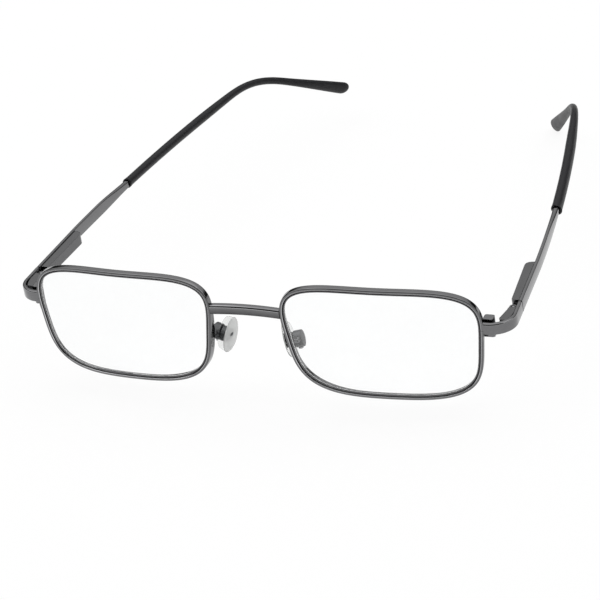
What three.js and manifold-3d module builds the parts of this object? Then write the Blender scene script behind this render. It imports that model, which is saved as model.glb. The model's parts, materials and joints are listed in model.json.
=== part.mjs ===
// Full rim metal reading glasses with sprung hinges, nose pads on arms and sleeved ear tips.
// Millimetres. +Z is up, the lenses face -Y and the temples run back towards +Y.
// Each side is drawn as the wearer's left one, at +X, and mirrored for the right.
import * as THREE from 'three';
import { mergeVertices } from 'three/addons/utils/BufferGeometryUtils.js';
import Module from 'manifold-3d';

const wasm = await Module();
wasm.setup();

// Driving dimensions
const DEG = Math.PI / 180;
const SEAT = 0.04;

const LENS = {
  halfSpan: 35.57,
  width: 49.4,
  height: 31.4,
  squareness: 3.78,
  temporalLean: 6.66 * DEG,
  nasalLean: 8.55 * DEG,
  browSlope: -3.36 * DEG,
  wrap: 7.43 * DEG,
  baseRadius: 128,
  edge: 1.5,
  frontCrown: 0.5,
  backCrown: 0.35,
};
const PANTOSCOPIC = 1.56 * DEG;

const RIM = {
  width: 1.36,
  depth: 1.9,
  nasalDepth: 0.8,
  groove: 0.36,
  mouth: 0.32,
  bevel: 0.26,
  stations: 52,
};
const SLIT = { height: 3.4, gap: 0.12 };

const BRIDGE = { height: 2.75, depth: 1.7, level: 8.05, arch: 0.4, bevel: 0.4, stations: 8 };

const RIBBON = { thickness: 1.05, height: 3.3, splitHeight: 3.5, bevel: 0.28, bendRadius: 6.5, rise: 0.5 };
const LOCK = { width: 2.7, depth: 2.3, top: 5.8, bottom: 0.5, corner: 0.6, screwRadius: 0.5 };

const TEMPLE = {
  start: new THREE.Vector3(67.15, 18.6, 2.68),
  yaw: 5.0 * DEG,
  length: 147,
  bow: 0.0009,
  straight: 18,
  neckFrom: 33,
  neckTo: 50,
  neckHeight: 2.0,
  neckThickness: 1.65,
  neckBevel: 0.5,
  coreHeight: 1.0,
  coreThickness: 0.56,
  coreShort: 9,
};
const EAR = {
  right: { from: 99.2, over: 25.8, drop: 27.6 * DEG, inward: 17.0 * DEG },
  left: { from: 94.9, over: 24.6, drop: 36.2 * DEG, inward: 14.6 * DEG },
};
const TIP = {
  from: 48.5,
  cant: 38 * DEG,
  paddleCant: 20 * DEG,
  long: 1.54,
  short: 1.26,
  waistLong: 1.04,
  waistShort: 0.99,
  paddle: 2.0,
  lip: 0.08,
  round: 2.4,
};

const HINGE = {
  halfWidth: 1.0,
  halfHeight: 1.45,
  split: 1.75,
  butt: 0.5,
  blockFront: -7.3,
  blockFlare: 1.1,
  blockRear: -1.0,
  earRadius: 0.98,
  earHalf: 0.95,
  eyeRadius: 0.94,
  eyeHalf: 0.38,
  pinRadius: 0.5,
};
const HOUSING = {
  front: 2.4,
  rear: 21.3,
  flare: 0.35,
  rearRadius: 1.7,
  wall: 3.7,
  wallThickness: 0.8,
  boreEnd: 16.6,
};
const CARRIAGE = { shankEnd: 3.4, shankHalf: 0.5, rodRadius: 0.34, rodEnd: 14.6, nutLength: 1.1 };
const SPRING = { coilRadius: 0.53, wireRadius: 0.12, turns: 10, stepsPerTurn: 8, sides: 5 };

const PAD = {
  place: new THREE.Vector3(10.3, 5.06, -3.0),
  lean: -10 * DEG,
  frontal: -10 * DEG,
  splay: 12 * DEG,
  halfWidth: 3.5,
  halfHeight: 5.4,
  thickness: 2.4,
  clear: 0.3,
};
const PAD_BOX = { radius: 2.2, thickness: 2.3, slotHalf: 0.92, lugHalf: 0.7, screwRadius: 0.4 };
const PAD_ARM = { level: -1.0, radius: 0.55, sides: 8, steps: 14 };

// Finishes
const metal = (color, roughness) => new THREE.MeshStandardMaterial({ color, roughness, metalness: 1 });
const plastic = (color, roughness) => new THREE.MeshStandardMaterial({ color, roughness, metalness: 0 });
const clear = (color, roughness, opacity) =>
  new THREE.MeshStandardMaterial({ color, roughness, opacity, transparent: true });
const FINISH = {
  gunmetal: () => metal(0x78787a, 0.32),
  hinge: () => metal(0x606062, 0.42),
  steel: () => metal(0x9a9a9c, 0.3),
  glass: () => clear(0xf2f7f7, 0.05, 0.25),
  tip: () => plastic(0x2d2d31, 0.45),
  pad: () => clear(0xdedfdd, 0.25, 0.6),
};

// Geometry helpers
const vec = (x, y, z) => new THREE.Vector3(x, y, z);
const mix = (a, b, t) => a + (b - a) * t;
const smooth = (from, to, x) => THREE.MathUtils.smoothstep(x, from, to);

// Turns a triangle list outward when its signed volume is negative
function outward(points, faces) {
  let volume = 0;
  const cross = new THREE.Vector3();
  for (const [a, b, c] of faces) {
    volume += cross.crossVectors(points[b], points[c]).dot(points[a]);
  }
  const turned = volume > 0 ? faces : faces.map(([a, b, c]) => [a, c, b]);
  const geometry = new THREE.BufferGeometry().setFromPoints(points);
  geometry.setIndex(turned.flat());
  geometry.computeVertexNormals();
  return geometry;
}

// Skins a row of rings, with a fan to an apex point at each end
function skin(rings, start, end) {
  const count = rings[0].length;
  const points = [...rings.flat(), start, end];
  const faces = [];
  const last = (rings.length - 1) * count;
  const startIndex = points.length - 2;
  for (let j = 0; j < count; j += 1) {
    const next = (j + 1) % count;
    for (let i = 0; i < rings.length - 1; i += 1) {
      const here = i * count;
      const there = here + count;
      faces.push([here + j, here + next, there + next], [here + j, there + next, there + j]);
    }
    faces.push([startIndex, next, j], [startIndex + 1, last + j, last + next]);
  }
  return outward(points, faces);
}

// Places a flat section at a station: its first axis runs along u and its second along v
function ringAt(station, section) {
  const { p, u, v } = station;
  return section.map(([a, b]) => p.clone().addScaledVector(u, a).addScaledVector(v, b));
}

function sweep(stations, sectionAt, apex = [0, 0]) {
  const rings = stations.map((station, i) => ringAt(station, sectionAt(station, i)));
  const [start] = ringAt(stations[0], [apex]);
  const [end] = ringAt(stations[stations.length - 1], [apex]);
  return skin(rings, start, end);
}

function bevelledBar(thickness, height, bevel) {
  const t = thickness / 2;
  const h = height / 2;
  return [
    [t, -h + bevel], [t, h - bevel], [t - bevel, h], [-t + bevel * 0.5, h],
    [-t, h - bevel * 0.5], [-t, -h + bevel * 0.5], [-t + bevel * 0.5, -h], [t - bevel, -h],
  ];
}

function oval(halfU, halfV, cant, count) {
  return Array.from({ length: count }, (_, i) => {
    const angle = (i / count) * 2 * Math.PI;
    const a = halfU * Math.cos(angle);
    const b = halfV * Math.sin(angle);
    return [a * Math.cos(cant) - b * Math.sin(cant), a * Math.sin(cant) + b * Math.cos(cant)];
  });
}

const block = (x0, x1, y0, y1, z0, z1) =>
  new THREE.BoxGeometry(x1 - x0, y1 - y0, z1 - z0).translate((x0 + x1) / 2, (y0 + y1) / 2, (z0 + z1) / 2);

// Cylinder between two levels along the Z, Y or X axis through a centre
function rod(axis, radius, from, to, centre, sides = 14) {
  const geometry = new THREE.CylinderGeometry(radius, radius, to - from, sides);
  geometry.translate(0, (from + to) / 2, 0);
  if (axis === 'z') geometry.rotateX(Math.PI / 2);
  if (axis === 'x') geometry.rotateZ(-Math.PI / 2);
  return geometry.translate(...centre);
}

function plate(shape, z0, z1, curveSegments = 5) {
  const options = { depth: z1 - z0, bevelEnabled: false, curveSegments };
  return new THREE.ExtrudeGeometry(shape, options).translate(0, 0, z0);
}

function solidOf(geometry) {
  const bare = geometry.clone();
  bare.deleteAttribute('normal');
  bare.deleteAttribute('uv');
  const merged = mergeVertices(bare, 1e-4);
  const vertProperties = new Float32Array(merged.getAttribute('position').array);
  const triVerts = new Uint32Array(merged.getIndex().array);
  return new wasm.Manifold(new wasm.Mesh({ numProp: 3, vertProperties, triVerts }));
}

function geometryOf(solid) {
  const mesh = solid.getMesh();
  const geometry = new THREE.BufferGeometry();
  geometry.setAttribute('position', new THREE.BufferAttribute(mesh.vertProperties, 3));
  geometry.setIndex(new THREE.BufferAttribute(mesh.triVerts, 1));
  geometry.computeVertexNormals();
  return geometry;
}

// Joins the first list of geometries and cuts the second list from the result
function shape(joined, cuts = []) {
  let solid = solidOf(joined[0]);
  for (const more of joined.slice(1)) solid = solid.add(solidOf(more));
  for (const cut of cuts) solid = solid.subtract(solidOf(cut));
  return geometryOf(solid);
}

// The rim's centre line: a leaning superellipse laid on the lens's base curve
class RimLine extends THREE.Curve {
  constructor(from, to) {
    super();
    this.from = from;
    this.to = to;
    this.arcLengthDivisions = 900;
  }

  getPoint(t, target = new THREE.Vector3()) {
    const angle = mix(this.from, this.to, t);
    const c = Math.cos(angle) / (LENS.width / 2);
    const s = Math.sin(angle) / (LENS.height / 2);
    const r = (Math.abs(c) ** LENS.squareness + Math.abs(s) ** LENS.squareness) ** (-1 / LENS.squareness);
    const flatX = r * Math.cos(angle);
    const flatZ = r * Math.sin(angle);
    const side = flatX / (LENS.width / 2);
    const lean = ((1 + side) * Math.tan(LENS.temporalLean) - (1 - side) * Math.tan(LENS.nasalLean)) / 2;
    const x = flatX + flatZ * lean;
    const z = flatZ + flatX * Math.tan(LENS.browSlope);
    return target.set(x, lensMid(x, z), z);
  }
}

// Depth of the lens's middle surface, from the lens centre
function lensMid(x, z) {
  return (x * x + z * z) / (2 * LENS.baseRadius) + x * Math.tan(LENS.wrap);
}

const LENS_BACK = vec(-Math.sin(LENS.wrap), Math.cos(LENS.wrap), 0);

function rimStation(curve, t) {
  const p = curve.getPointAt(t);
  const u = new THREE.Vector3().crossVectors(LENS_BACK, curve.getTangentAt(t)).normalize();
  if (u.x * p.x + u.z * p.z < 0) u.negate();
  return { p, u, v: LENS_BACK };
}

// The rim is slit at the lock, on its temporal side
const slitAngle = Math.atan2(SLIT.height - (LENS.width / 2) * Math.tan(LENS.browSlope), LENS.width / 2);
const slitHalf = SLIT.gap / LENS.width;
const rimLine = new RimLine(slitAngle + slitHalf, slitAngle + 2 * Math.PI - slitHalf);
const rimStations = [];
for (let i = 0; i < RIM.stations; i += 1) {
  rimStations.push(rimStation(rimLine, i / (RIM.stations - 1)));
}

// Station of the rim at a height on its nasal or temporal side
function rimAtHeight(height, nasal) {
  const [from, to] = nasal ? [Math.PI * 1.25, Math.PI * 0.75] : [-0.7, 0.7];
  const line = new RimLine(from, to);
  let low = 0;
  let high = 1;
  for (let i = 0; i < 40; i += 1) {
    const middle = (low + high) / 2;
    if (line.getPoint(middle).z < height) low = middle;
    else high = middle;
  }
  const tangent = line.getTangent(low);
  const p = line.getPoint(low);
  const u = new THREE.Vector3().crossVectors(LENS_BACK, tangent).normalize();
  if (u.x * p.x < 0) u.negate();
  return { p: p.add(vec(LENS.halfSpan, 0, 0)), u, v: LENS_BACK };
}

// Distance from the middle of the groove to the rim's back, which is deeper beside the nose
function rimBack(x, z) {
  return RIM.depth / 2 + RIM.nasalDepth * smooth(6, 22, -x) * (1 - smooth(0, 9, z));
}

function rimGeometry() {
  const w = RIM.width / 2;
  const d = RIM.depth / 2;
  const b = RIM.bevel;
  const section = (back) => [
    [-w, RIM.mouth], [-w, back - b], [-w + b, back], [w - b, back], [w, back - b], [w, -d + b], [w - b, -d],
    [-w + b, -d], [-w, -d + b], [-w, -RIM.mouth], [-w + RIM.groove, 0],
  ];
  return sweep(rimStations, ({ p }) => section(rimBack(p.x, p.z)), [w * 0.3, 0]);
}

// Meniscus reading lens with a bevelled edge that stands in the rim's groove
function lensGeometry() {
  const shoulder = -RIM.width / 2 - SEAT;
  const apex = -RIM.width / 2 + RIM.groove - 2 * SEAT;
  const root = (RIM.mouth * (apex - shoulder)) / RIM.groove;
  const half = LENS.edge / 2;
  const edgeRing = (a, b) => rimStations.map((station) => ringAt(station, [[a, b]])[0]);
  const face = (sign, crown) => (share) => edgeRing(shoulder, sign * half).map((edge) => {
    const x = edge.x * share;
    const z = edge.z * share;
    const edgeOffset = edge.y - lensMid(edge.x, edge.z);
    return vec(x, lensMid(x, z) + edgeOffset + sign * crown * (1 - share * share), z);
  });
  const front = face(-1, LENS.frontCrown);
  const back = face(1, LENS.backCrown);
  const shares = [0.4, 0.75];
  const rings = [
    ...shares.map(front),
    edgeRing(shoulder, -half), edgeRing(shoulder, -root), edgeRing(apex, 0),
    edgeRing(shoulder, root), edgeRing(shoulder, half),
    ...shares.reverse().map(back),
  ];
  const poleOf = (sign, crown) => vec(0, sign * (half + crown), 0);
  return skin(rings, poleOf(-1, LENS.frontCrown), poleOf(1, LENS.backCrown));
}

// Straight flat-fronted bar between the rims, its ends cut to the lean of the rims
function bridgeGeometry() {
  const seat = rimAtHeight(BRIDGE.level, true);
  const foot = seat.p.clone().addScaledVector(seat.u, RIM.width / 2 + SEAT);
  const front = foot.y - RIM.depth / 2;
  const half = foot.x;
  const h = BRIDGE.height / 2;
  const b = BRIDGE.bevel;
  const d = BRIDGE.depth;
  const section = [
    [0, -h + b * 0.6], [0, h - b], [b, h], [d - b * 0.5, h],
    [d, h - b * 0.5], [d, -h + b * 0.5], [d - b * 0.5, -h], [b * 0.6, -h],
  ];
  const slope = seat.u.z / seat.u.x;
  const depthSlope = seat.u.y / seat.u.x;
  const rings = [];
  for (let i = 0; i <= BRIDGE.stations; i += 1) {
    const share = (2 * i) / BRIDGE.stations - 1;
    rings.push(section.map(([y, z]) => {
      const reach = half - slope * z - depthSlope * (front + y - foot.y);
      const rise = BRIDGE.arch * (1 - share * share);
      return vec(share * reach, front + y, BRIDGE.level + z + rise);
    }));
  }
  const middle = front + d / 2;
  const endReach = half - depthSlope * (middle - foot.y);
  const end = (side) => vec(side * endReach, middle, BRIDGE.level);
  return skin(rings, end(-1), end(1));
}

// Where the endpiece meets the rim, and the pin that the hinge turns on
const lockSeat = rimAtHeight(SLIT.height, false);
const ribbonOffset = HINGE.halfWidth + SEAT + RIBBON.thickness / 2;
const alongTemple = vec(-Math.sin(TEMPLE.yaw), Math.cos(TEMPLE.yaw), 0);
const outOfTemple = vec(Math.cos(TEMPLE.yaw), Math.sin(TEMPLE.yaw), 0);
const pin = TEMPLE.start.clone()
  .addScaledVector(alongTemple, -HINGE.split)
  .addScaledVector(outOfTemple, -ribbonOffset);

// Ribbon that leaves the rim, turns back in one round bend and ends at the split
function endpieceGeometry() {
  const rootDepth = -RIM.depth / 2 + RIBBON.thickness / 2 + 0.02;
  const root = lockSeat.p.clone()
    .addScaledVector(lockSeat.u, RIM.width / 2 + SEAT)
    .addScaledVector(LENS_BACK, rootDepth);
  const first = LENS.wrap;
  const final = Math.PI / 2 + TEMPLE.yaw;
  const radius = RIBBON.bendRadius;
  const run = radius * (Math.sin(final) - Math.sin(first));
  const depth = radius * (Math.cos(first) - Math.cos(final));
  const slope = Math.tan(TEMPLE.yaw);
  const short = TEMPLE.start.x - root.x - run - (root.y + depth - TEMPLE.start.y) * slope;
  const lead = short / (Math.cos(first) + Math.sin(first) * slope);
  const bendStart = root.clone().add(vec(lead * Math.cos(first), lead * Math.sin(first), 0));
  const headings = [first];
  const points = [root];
  const bendSteps = 10;
  for (let i = 0; i <= bendSteps; i += 1) {
    const heading = mix(first, final, i / bendSteps);
    const x = radius * (Math.sin(heading) - Math.sin(first));
    const y = radius * (Math.cos(first) - Math.cos(heading));
    headings.push(heading);
    points.push(bendStart.clone().add(vec(x, y, 0)));
  }
  headings.push(final);
  points.push(TEMPLE.start.clone().addScaledVector(alongTemple, -HINGE.butt));
  const stations = points.map((p, i) => {
    const share = i / (points.length - 1);
    p.z = mix(SLIT.height + RIBBON.rise, TEMPLE.start.z, share);
    const heading = headings[i];
    const along = vec(Math.cos(heading), Math.sin(heading), 0);
    return { p, along, u: vec(Math.sin(heading), -Math.cos(heading), 0), v: vec(0, 0, 1), share };
  });
  const rings = stations.map((station) => {
    const height = mix(RIBBON.height, RIBBON.splitHeight, station.share);
    return ringAt(station, bevelledBar(RIBBON.thickness, height, RIBBON.bevel));
  });
  for (const corner of [...rings[0]]) {
    const past = corner.clone().sub(root).dot(lockSeat.u);
    corner.addScaledVector(stations[0].along, -past / stations[0].along.dot(lockSeat.u));
  }
  return skin(rings, stations[0].p, stations[stations.length - 1].p);
}

// The two halves of the closing block that pull the slit rim together
function lockShape() {
  const x0 = lockSeat.p.x + RIM.width / 2 - 0.5;
  const x1 = x0 + LOCK.width;
  const y0 = lockSeat.p.y + RIM.depth / 2 + 3 * SEAT;
  const y1 = y0 + LOCK.depth;
  const c = LOCK.corner;
  const outline = new THREE.Shape();
  outline.moveTo(x0, y0);
  outline.lineTo(x1 - 0.5, y0);
  outline.lineTo(x1, y0 + 0.3);
  outline.lineTo(x1, y1 - c);
  outline.quadraticCurveTo(x1, y1, x1 - c, y1);
  outline.lineTo(x0 + c, y1);
  outline.quadraticCurveTo(x0, y1, x0, y1 - c);
  return { outline, centre: [(x0 + x1) / 2, (y0 + y1) / 2, 0] };
}

const lock = lockShape();
const lockSplit = SLIT.gap / 2;
const lockHeadRadius = LOCK.screwRadius + 0.35;
const lockHeadDepth = 0.6;

function lockGeometry(upper) {
  const [z0, z1] = upper
    ? [SLIT.height + lockSplit, LOCK.top]
    : [LOCK.bottom, SLIT.height - lockSplit];
  const hole = rod('z', LOCK.screwRadius + SEAT, z0 - 1, upper ? z1 - 0.6 : z1 + 1, lock.centre);
  const cuts = [hole];
  if (!upper) cuts.push(rod('z', lockHeadRadius + SEAT, z0 - 1, z0 + lockHeadDepth, lock.centre));
  return shape([plate(lock.outline, z0, z1)], cuts);
}

// Cheese-head screw standing on its axis, with a driver slot across the head
function screwGeometry(radius, headRadius, headDepth, length) {
  const profile = [
    [0, 0], [headRadius * 0.85, 0], [headRadius, headDepth * 0.2], [headRadius, headDepth],
    [radius, headDepth], [radius, length - radius * 0.3], [radius * 0.7, length], [0, length],
  ];
  const turned = new THREE.LatheGeometry(profile.map(([x, y]) => new THREE.Vector2(x, y)), 14);
  turned.rotateX(Math.PI / 2);
  const slotHalf = headRadius * 0.16;
  const slot = block(-headRadius * 2, headRadius * 2, -slotHalf, slotHalf, -headDepth, headDepth * 0.35);
  return shape([turned], [slot]);
}

// Fixed half of the hinge: a block on the endpiece with two low ears round the pin
function hingeBlockGeometry() {
  const w = HINGE.halfWidth;
  const outline = new THREE.Shape();
  outline.moveTo(w - 1.0, HINGE.blockFront);
  outline.lineTo(w - 0.4, HINGE.blockFront + 1.4);
  outline.lineTo(w, HINGE.blockFront + 3.6);
  outline.lineTo(w, HINGE.blockRear);
  outline.lineTo(-w * 0.35, HINGE.blockRear);
  outline.quadraticCurveTo(-w, HINGE.blockRear - 0.2, -w, HINGE.blockRear - 1.4);
  const inside = -w - HINGE.blockFlare;
  outline.lineTo(inside, HINGE.blockFront + 0.8);
  outline.quadraticCurveTo(inside, HINGE.blockFront, inside + 0.8, HINGE.blockFront);
  const ears = new THREE.Shape();
  ears.absarc(0, 0, HINGE.earRadius, 0, Math.PI, false);
  ears.lineTo(-HINGE.earRadius, HINGE.blockRear - 0.5);
  ears.lineTo(HINGE.earRadius, HINGE.blockRear - 0.5);
  const slotHalf = HINGE.eyeHalf + SEAT;
  const slot = block(-3, 3, -HINGE.eyeRadius - 0.15, 3, -slotHalf, slotHalf);
  const bore = rod('z', HINGE.pinRadius + SEAT, -3, 3, [0, 0, 0]);
  return shape(
    [plate(outline, -HINGE.halfHeight, HINGE.halfHeight), plate(ears, -HINGE.earHalf, HINGE.earHalf, 7)],
    [slot, bore, rod('z', HINGE.pinRadius + 0.45, -3, -HINGE.earHalf, [0, 0, 0])],
  );
}

// Sliding half of the hinge: an eye on the pin, a shank and the rod that carries the spring
function carriageGeometry() {
  const half = HINGE.eyeHalf;
  return shape(
    [
      rod('z', HINGE.eyeRadius, -half, half, [0, 0, 0], 18),
      block(-CARRIAGE.shankHalf, CARRIAGE.shankHalf, 0.4, CARRIAGE.shankEnd, -half, half),
      rod('y', CARRIAGE.rodRadius, CARRIAGE.shankEnd - 0.3, CARRIAGE.rodEnd, [0, 0, 0], 10),
    ],
    [rod('z', HINGE.pinRadius + SEAT, -1, 1, [0, 0, 0])],
  );
}

// Box on the inside of the temple, bored for the spring and open to the front for the shank
function housingGeometry() {
  const w = HINGE.halfWidth;
  const r = HOUSING.rearRadius;
  const outline = new THREE.Shape();
  outline.moveTo(w, HOUSING.front);
  outline.lineTo(w, HOUSING.rear);
  outline.quadraticCurveTo(-w - HOUSING.flare, HOUSING.rear, -w - HOUSING.flare, HOUSING.rear - r);
  outline.lineTo(-w, HOUSING.front + 0.4);
  outline.lineTo(-w + 0.4, HOUSING.front);
  const slotX = CARRIAGE.shankHalf + 2 * SEAT;
  const slotZ = HINGE.eyeHalf + 2 * SEAT;
  const boreStart = HOUSING.wall + HOUSING.wallThickness;
  const boreRadius = SPRING.coilRadius + SPRING.wireRadius + 0.12;
  return shape(
    [plate(outline, -HINGE.halfHeight, HINGE.halfHeight)],
    [
      block(-slotX, slotX, HOUSING.front - 1, HOUSING.wall, -slotZ, slotZ),
      rod('y', CARRIAGE.rodRadius + 2 * SEAT, HOUSING.front, boreStart + 1, [0, 0, 0], 10),
      rod('y', boreRadius, boreStart, HOUSING.boreEnd, [0, 0, 0], 12),
    ],
  );
}

function rodNutGeometry() {
  const radius = SPRING.coilRadius + SPRING.wireRadius;
  const from = CARRIAGE.rodEnd - CARRIAGE.nutLength;
  const bore = rod('y', CARRIAGE.rodRadius + SEAT, from - 1, CARRIAGE.rodEnd + 1, [0, 0, 0], 10);
  return shape([rod('y', radius, from, CARRIAGE.rodEnd, [0, 0, 0], 12)], [bore]);
}

// Compression spring wound on the rod, from the housing's wall to the nut
function springGeometry() {
  const from = HOUSING.wall + HOUSING.wallThickness + SPRING.wireRadius + SEAT;
  const to = CARRIAGE.rodEnd - CARRIAGE.nutLength - SPRING.wireRadius - SEAT;
  const steps = SPRING.turns * SPRING.stepsPerTurn;
  const climb = (to - from) / SPRING.turns / (2 * Math.PI * SPRING.coilRadius);
  const stations = [];
  for (let i = 0; i <= steps; i += 1) {
    const angle = (i / SPRING.stepsPerTurn) * 2 * Math.PI;
    const u = vec(Math.cos(angle), 0, Math.sin(angle));
    const along = vec(-Math.sin(angle), climb, Math.cos(angle)).normalize();
    const p = u.clone().multiplyScalar(SPRING.coilRadius).setY(mix(from, to, i / steps));
    stations.push({ p, u, v: new THREE.Vector3().crossVectors(along, u) });
  }
  let least = Infinity;
  for (let i = 0; i < stations.length; i += 1) {
    for (let j = i + SPRING.stepsPerTurn / 2; j < stations.length; j += 1) {
      least = Math.min(least, stations[i].p.distanceTo(stations[j].p));
    }
  }
  console.log(`hinge spring: least gap between turns ${(least - 2 * SPRING.wireRadius).toFixed(2)} mm`);
  return sweep(stations, () => oval(SPRING.wireRadius, SPRING.wireRadius, 0, SPRING.sides));
}

// Centre line of a temple in its hinge's frame, by distance from the split
function templeStations(ear, from, to, step) {
  const fine = 0.5;
  const stations = [];
  const p = vec(ribbonOffset, HINGE.split, 0);
  const count = Math.ceil((to - from) / step);
  for (let s = 0; stations.length <= count; s += fine) {
    const bent = smooth(ear.from, ear.from + ear.over, s);
    const bowed = smooth(TEMPLE.straight - 1, TEMPLE.straight + 6, s);
    const yaw = 2 * TEMPLE.bow * (s - 10) * bowed + ear.inward * bent;
    const dip = ear.drop * bent;
    const along = vec(-Math.sin(yaw) * Math.cos(dip), Math.cos(yaw) * Math.cos(dip), -Math.sin(dip));
    while (stations.length <= count && mix(from, to, stations.length / count) < s + fine) {
      const at = mix(from, to, stations.length / count);
      const u = vec(Math.cos(yaw), Math.sin(yaw), 0);
      const v = new THREE.Vector3().crossVectors(u, along).normalize();
      stations.push({ p: p.clone().addScaledVector(along, at - s), u, v, s: at });
    }
    p.addScaledVector(along, fine);
  }
  return stations;
}

// Metal temple: a ribbon that gathers to a round neck, with a thin core that runs on inside the ear tip
function templeGeometry(ear) {
  const neckEnd = TIP.from + 0.4;
  const ribbon = templeStations(ear, 0, neckEnd, 4);
  const core = templeStations(ear, neckEnd + 0.6, TEMPLE.length - TEMPLE.coreShort, 4);
  return sweep([...ribbon, ...core], ({ s }) => {
    if (s > neckEnd) return bevelledBar(TEMPLE.coreThickness, TEMPLE.coreHeight, 0.15);
    const share = smooth(TEMPLE.neckFrom, TEMPLE.neckTo, s);
    const thickness = mix(RIBBON.thickness, TEMPLE.neckThickness, share);
    const height = mix(RIBBON.splitHeight, TEMPLE.neckHeight, share);
    return bevelledBar(thickness, height, mix(RIBBON.bevel, TEMPLE.neckBevel, share));
  });
}

// Ear tip: a canted oval sleeve, waisted at the bend and spread to a flat rounded paddle
function tipSection(s, ear) {
  const lip = TIP.lip * (1 - smooth(TIP.from, TIP.from + 2, s));
  const waist = smooth(ear.from - 14, ear.from + ear.over * 0.5, s);
  const paddle = smooth(ear.from + ear.over * 0.85, TEMPLE.length + 2, s);
  const turn = smooth(ear.from + ear.over * 0.5, ear.from + ear.over * 1.2, s);
  const cant = mix(TIP.cant, TIP.paddleCant, turn);
  const end = Math.max(0, s - (TEMPLE.length - TIP.round)) / TIP.round;
  const close = Math.sqrt(Math.max(1 - end * end, 0.03));
  const long = mix(mix(TIP.long, TIP.waistLong, waist), TIP.paddle, paddle) + lip;
  const short = mix(TIP.short, TIP.waistShort, waist) + lip;
  return oval(short * close, long * close, cant, 12);
}

function tipGeometry(ear) {
  const body = templeStations(ear, TIP.from, TEMPLE.length - TIP.round, 4);
  const round = templeStations(ear, TEMPLE.length - TIP.round * 0.7, TEMPLE.length, 0.6);
  const mouthEnd = TIP.from + 1.1;
  const mouth = templeStations(ear, TIP.from - 1, mouthEnd, 1);
  const bore = templeStations(ear, mouthEnd + 0.6, TEMPLE.length - TEMPLE.coreShort + 0.5, 4);
  const outer = sweep([...body, ...round], ({ s }) => tipSection(s, ear));
  const inner = sweep([...mouth, ...bore], ({ s }) => {
    const past = s > mouthEnd;
    const thickness = past ? TEMPLE.coreThickness : TEMPLE.neckThickness;
    const height = past ? TEMPLE.coreHeight : TEMPLE.neckHeight;
    return bevelledBar(thickness + 4 * SEAT, height + 4 * SEAT, past ? 0.14 : TEMPLE.neckBevel * 0.9);
  });
  return shape([outer], [inner]);
}

// Nose pad in its own frame: the nose side faces -X and a lug at the back takes the screw
function nosePadGeometry() {
  const back = -PAD.clear;
  const rows = [[0.05, 0.85], [0.2, 0.97], [0.5, 1], [0.8, 0.95], [0.95, 0.76]];
  const count = 20;
  const rings = rows.map(([depth, share]) => Array.from({ length: count }, (_, i) => {
    const angle = (i / count) * 2 * Math.PI;
    const narrow = 1 - 0.14 * Math.sin(angle);
    const y = PAD.halfWidth * share * narrow * Math.cos(angle);
    return vec(back - depth * PAD.thickness, y, PAD.halfHeight * share * Math.sin(angle));
  }));
  const apex = (depth) => vec(back - depth * PAD.thickness, 0, 0);
  const lugHalf = PAD_BOX.lugHalf;
  const lug = block(back - 0.3 * PAD.thickness, PAD_BOX.thickness - 0.45, -lugHalf, lugHalf, -0.8, 0.8);
  const bore = rod('z', PAD_BOX.screwRadius + SEAT, -2, 2, [padPivot, 0, 0], 12);
  return shape([skin(rings, apex(0), apex(1)), lug], [bore]);
}

const padPivot = PAD_BOX.thickness * 0.4;

// Round box at the end of the pad arm, slotted for the pad's lug
function padBoxGeometry() {
  const slot = block(-1, PAD_BOX.thickness - 0.3, -PAD_BOX.slotHalf, PAD_BOX.slotHalf, -1, 1);
  const bore = rod('z', PAD_BOX.screwRadius + SEAT, -4, 4, [padPivot, 0, 0], 12);
  const round = rod('x', PAD_BOX.radius, 0, PAD_BOX.thickness, [0, 0, 0], 24);
  return shape([round], [slot, bore]);
}

// Wire arm from the back of the rim's nasal side to the front of the pad box
function padArmGeometry(boxMiddle, boxFront) {
  const seat = rimAtHeight(PAD_ARM.level, true);
  const rimDepth = rimBack(seat.p.x - LENS.halfSpan, seat.p.z);
  const start = seat.p.clone().addScaledVector(LENS_BACK, rimDepth + SEAT);
  const ahead = (distance) => boxMiddle.clone().addScaledVector(boxFront, distance);
  const line = new THREE.CatmullRomCurve3([
    start,
    start.clone().addScaledVector(LENS_BACK, 0.5),
    ahead(PAD_BOX.radius + SEAT + 0.5),
    ahead(PAD_BOX.radius + SEAT),
  ]);
  const stations = [];
  for (let i = 0; i <= PAD_ARM.steps; i += 1) {
    const p = line.getPointAt(i / PAD_ARM.steps);
    const along = line.getTangentAt(i / PAD_ARM.steps);
    const u = new THREE.Vector3().crossVectors(along, vec(0, 0.3, 1)).normalize();
    stations.push({ p, u, v: new THREE.Vector3().crossVectors(along, u) });
  }
  return sweep(stations, () => oval(PAD_ARM.radius, PAD_ARM.radius, 0, PAD_ARM.sides));
}

// Assembly
function add(group, name, geometry, material) {
  const mesh = new THREE.Mesh(geometry, material);
  mesh.name = name;
  group.add(mesh);
  return mesh;
}

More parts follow.
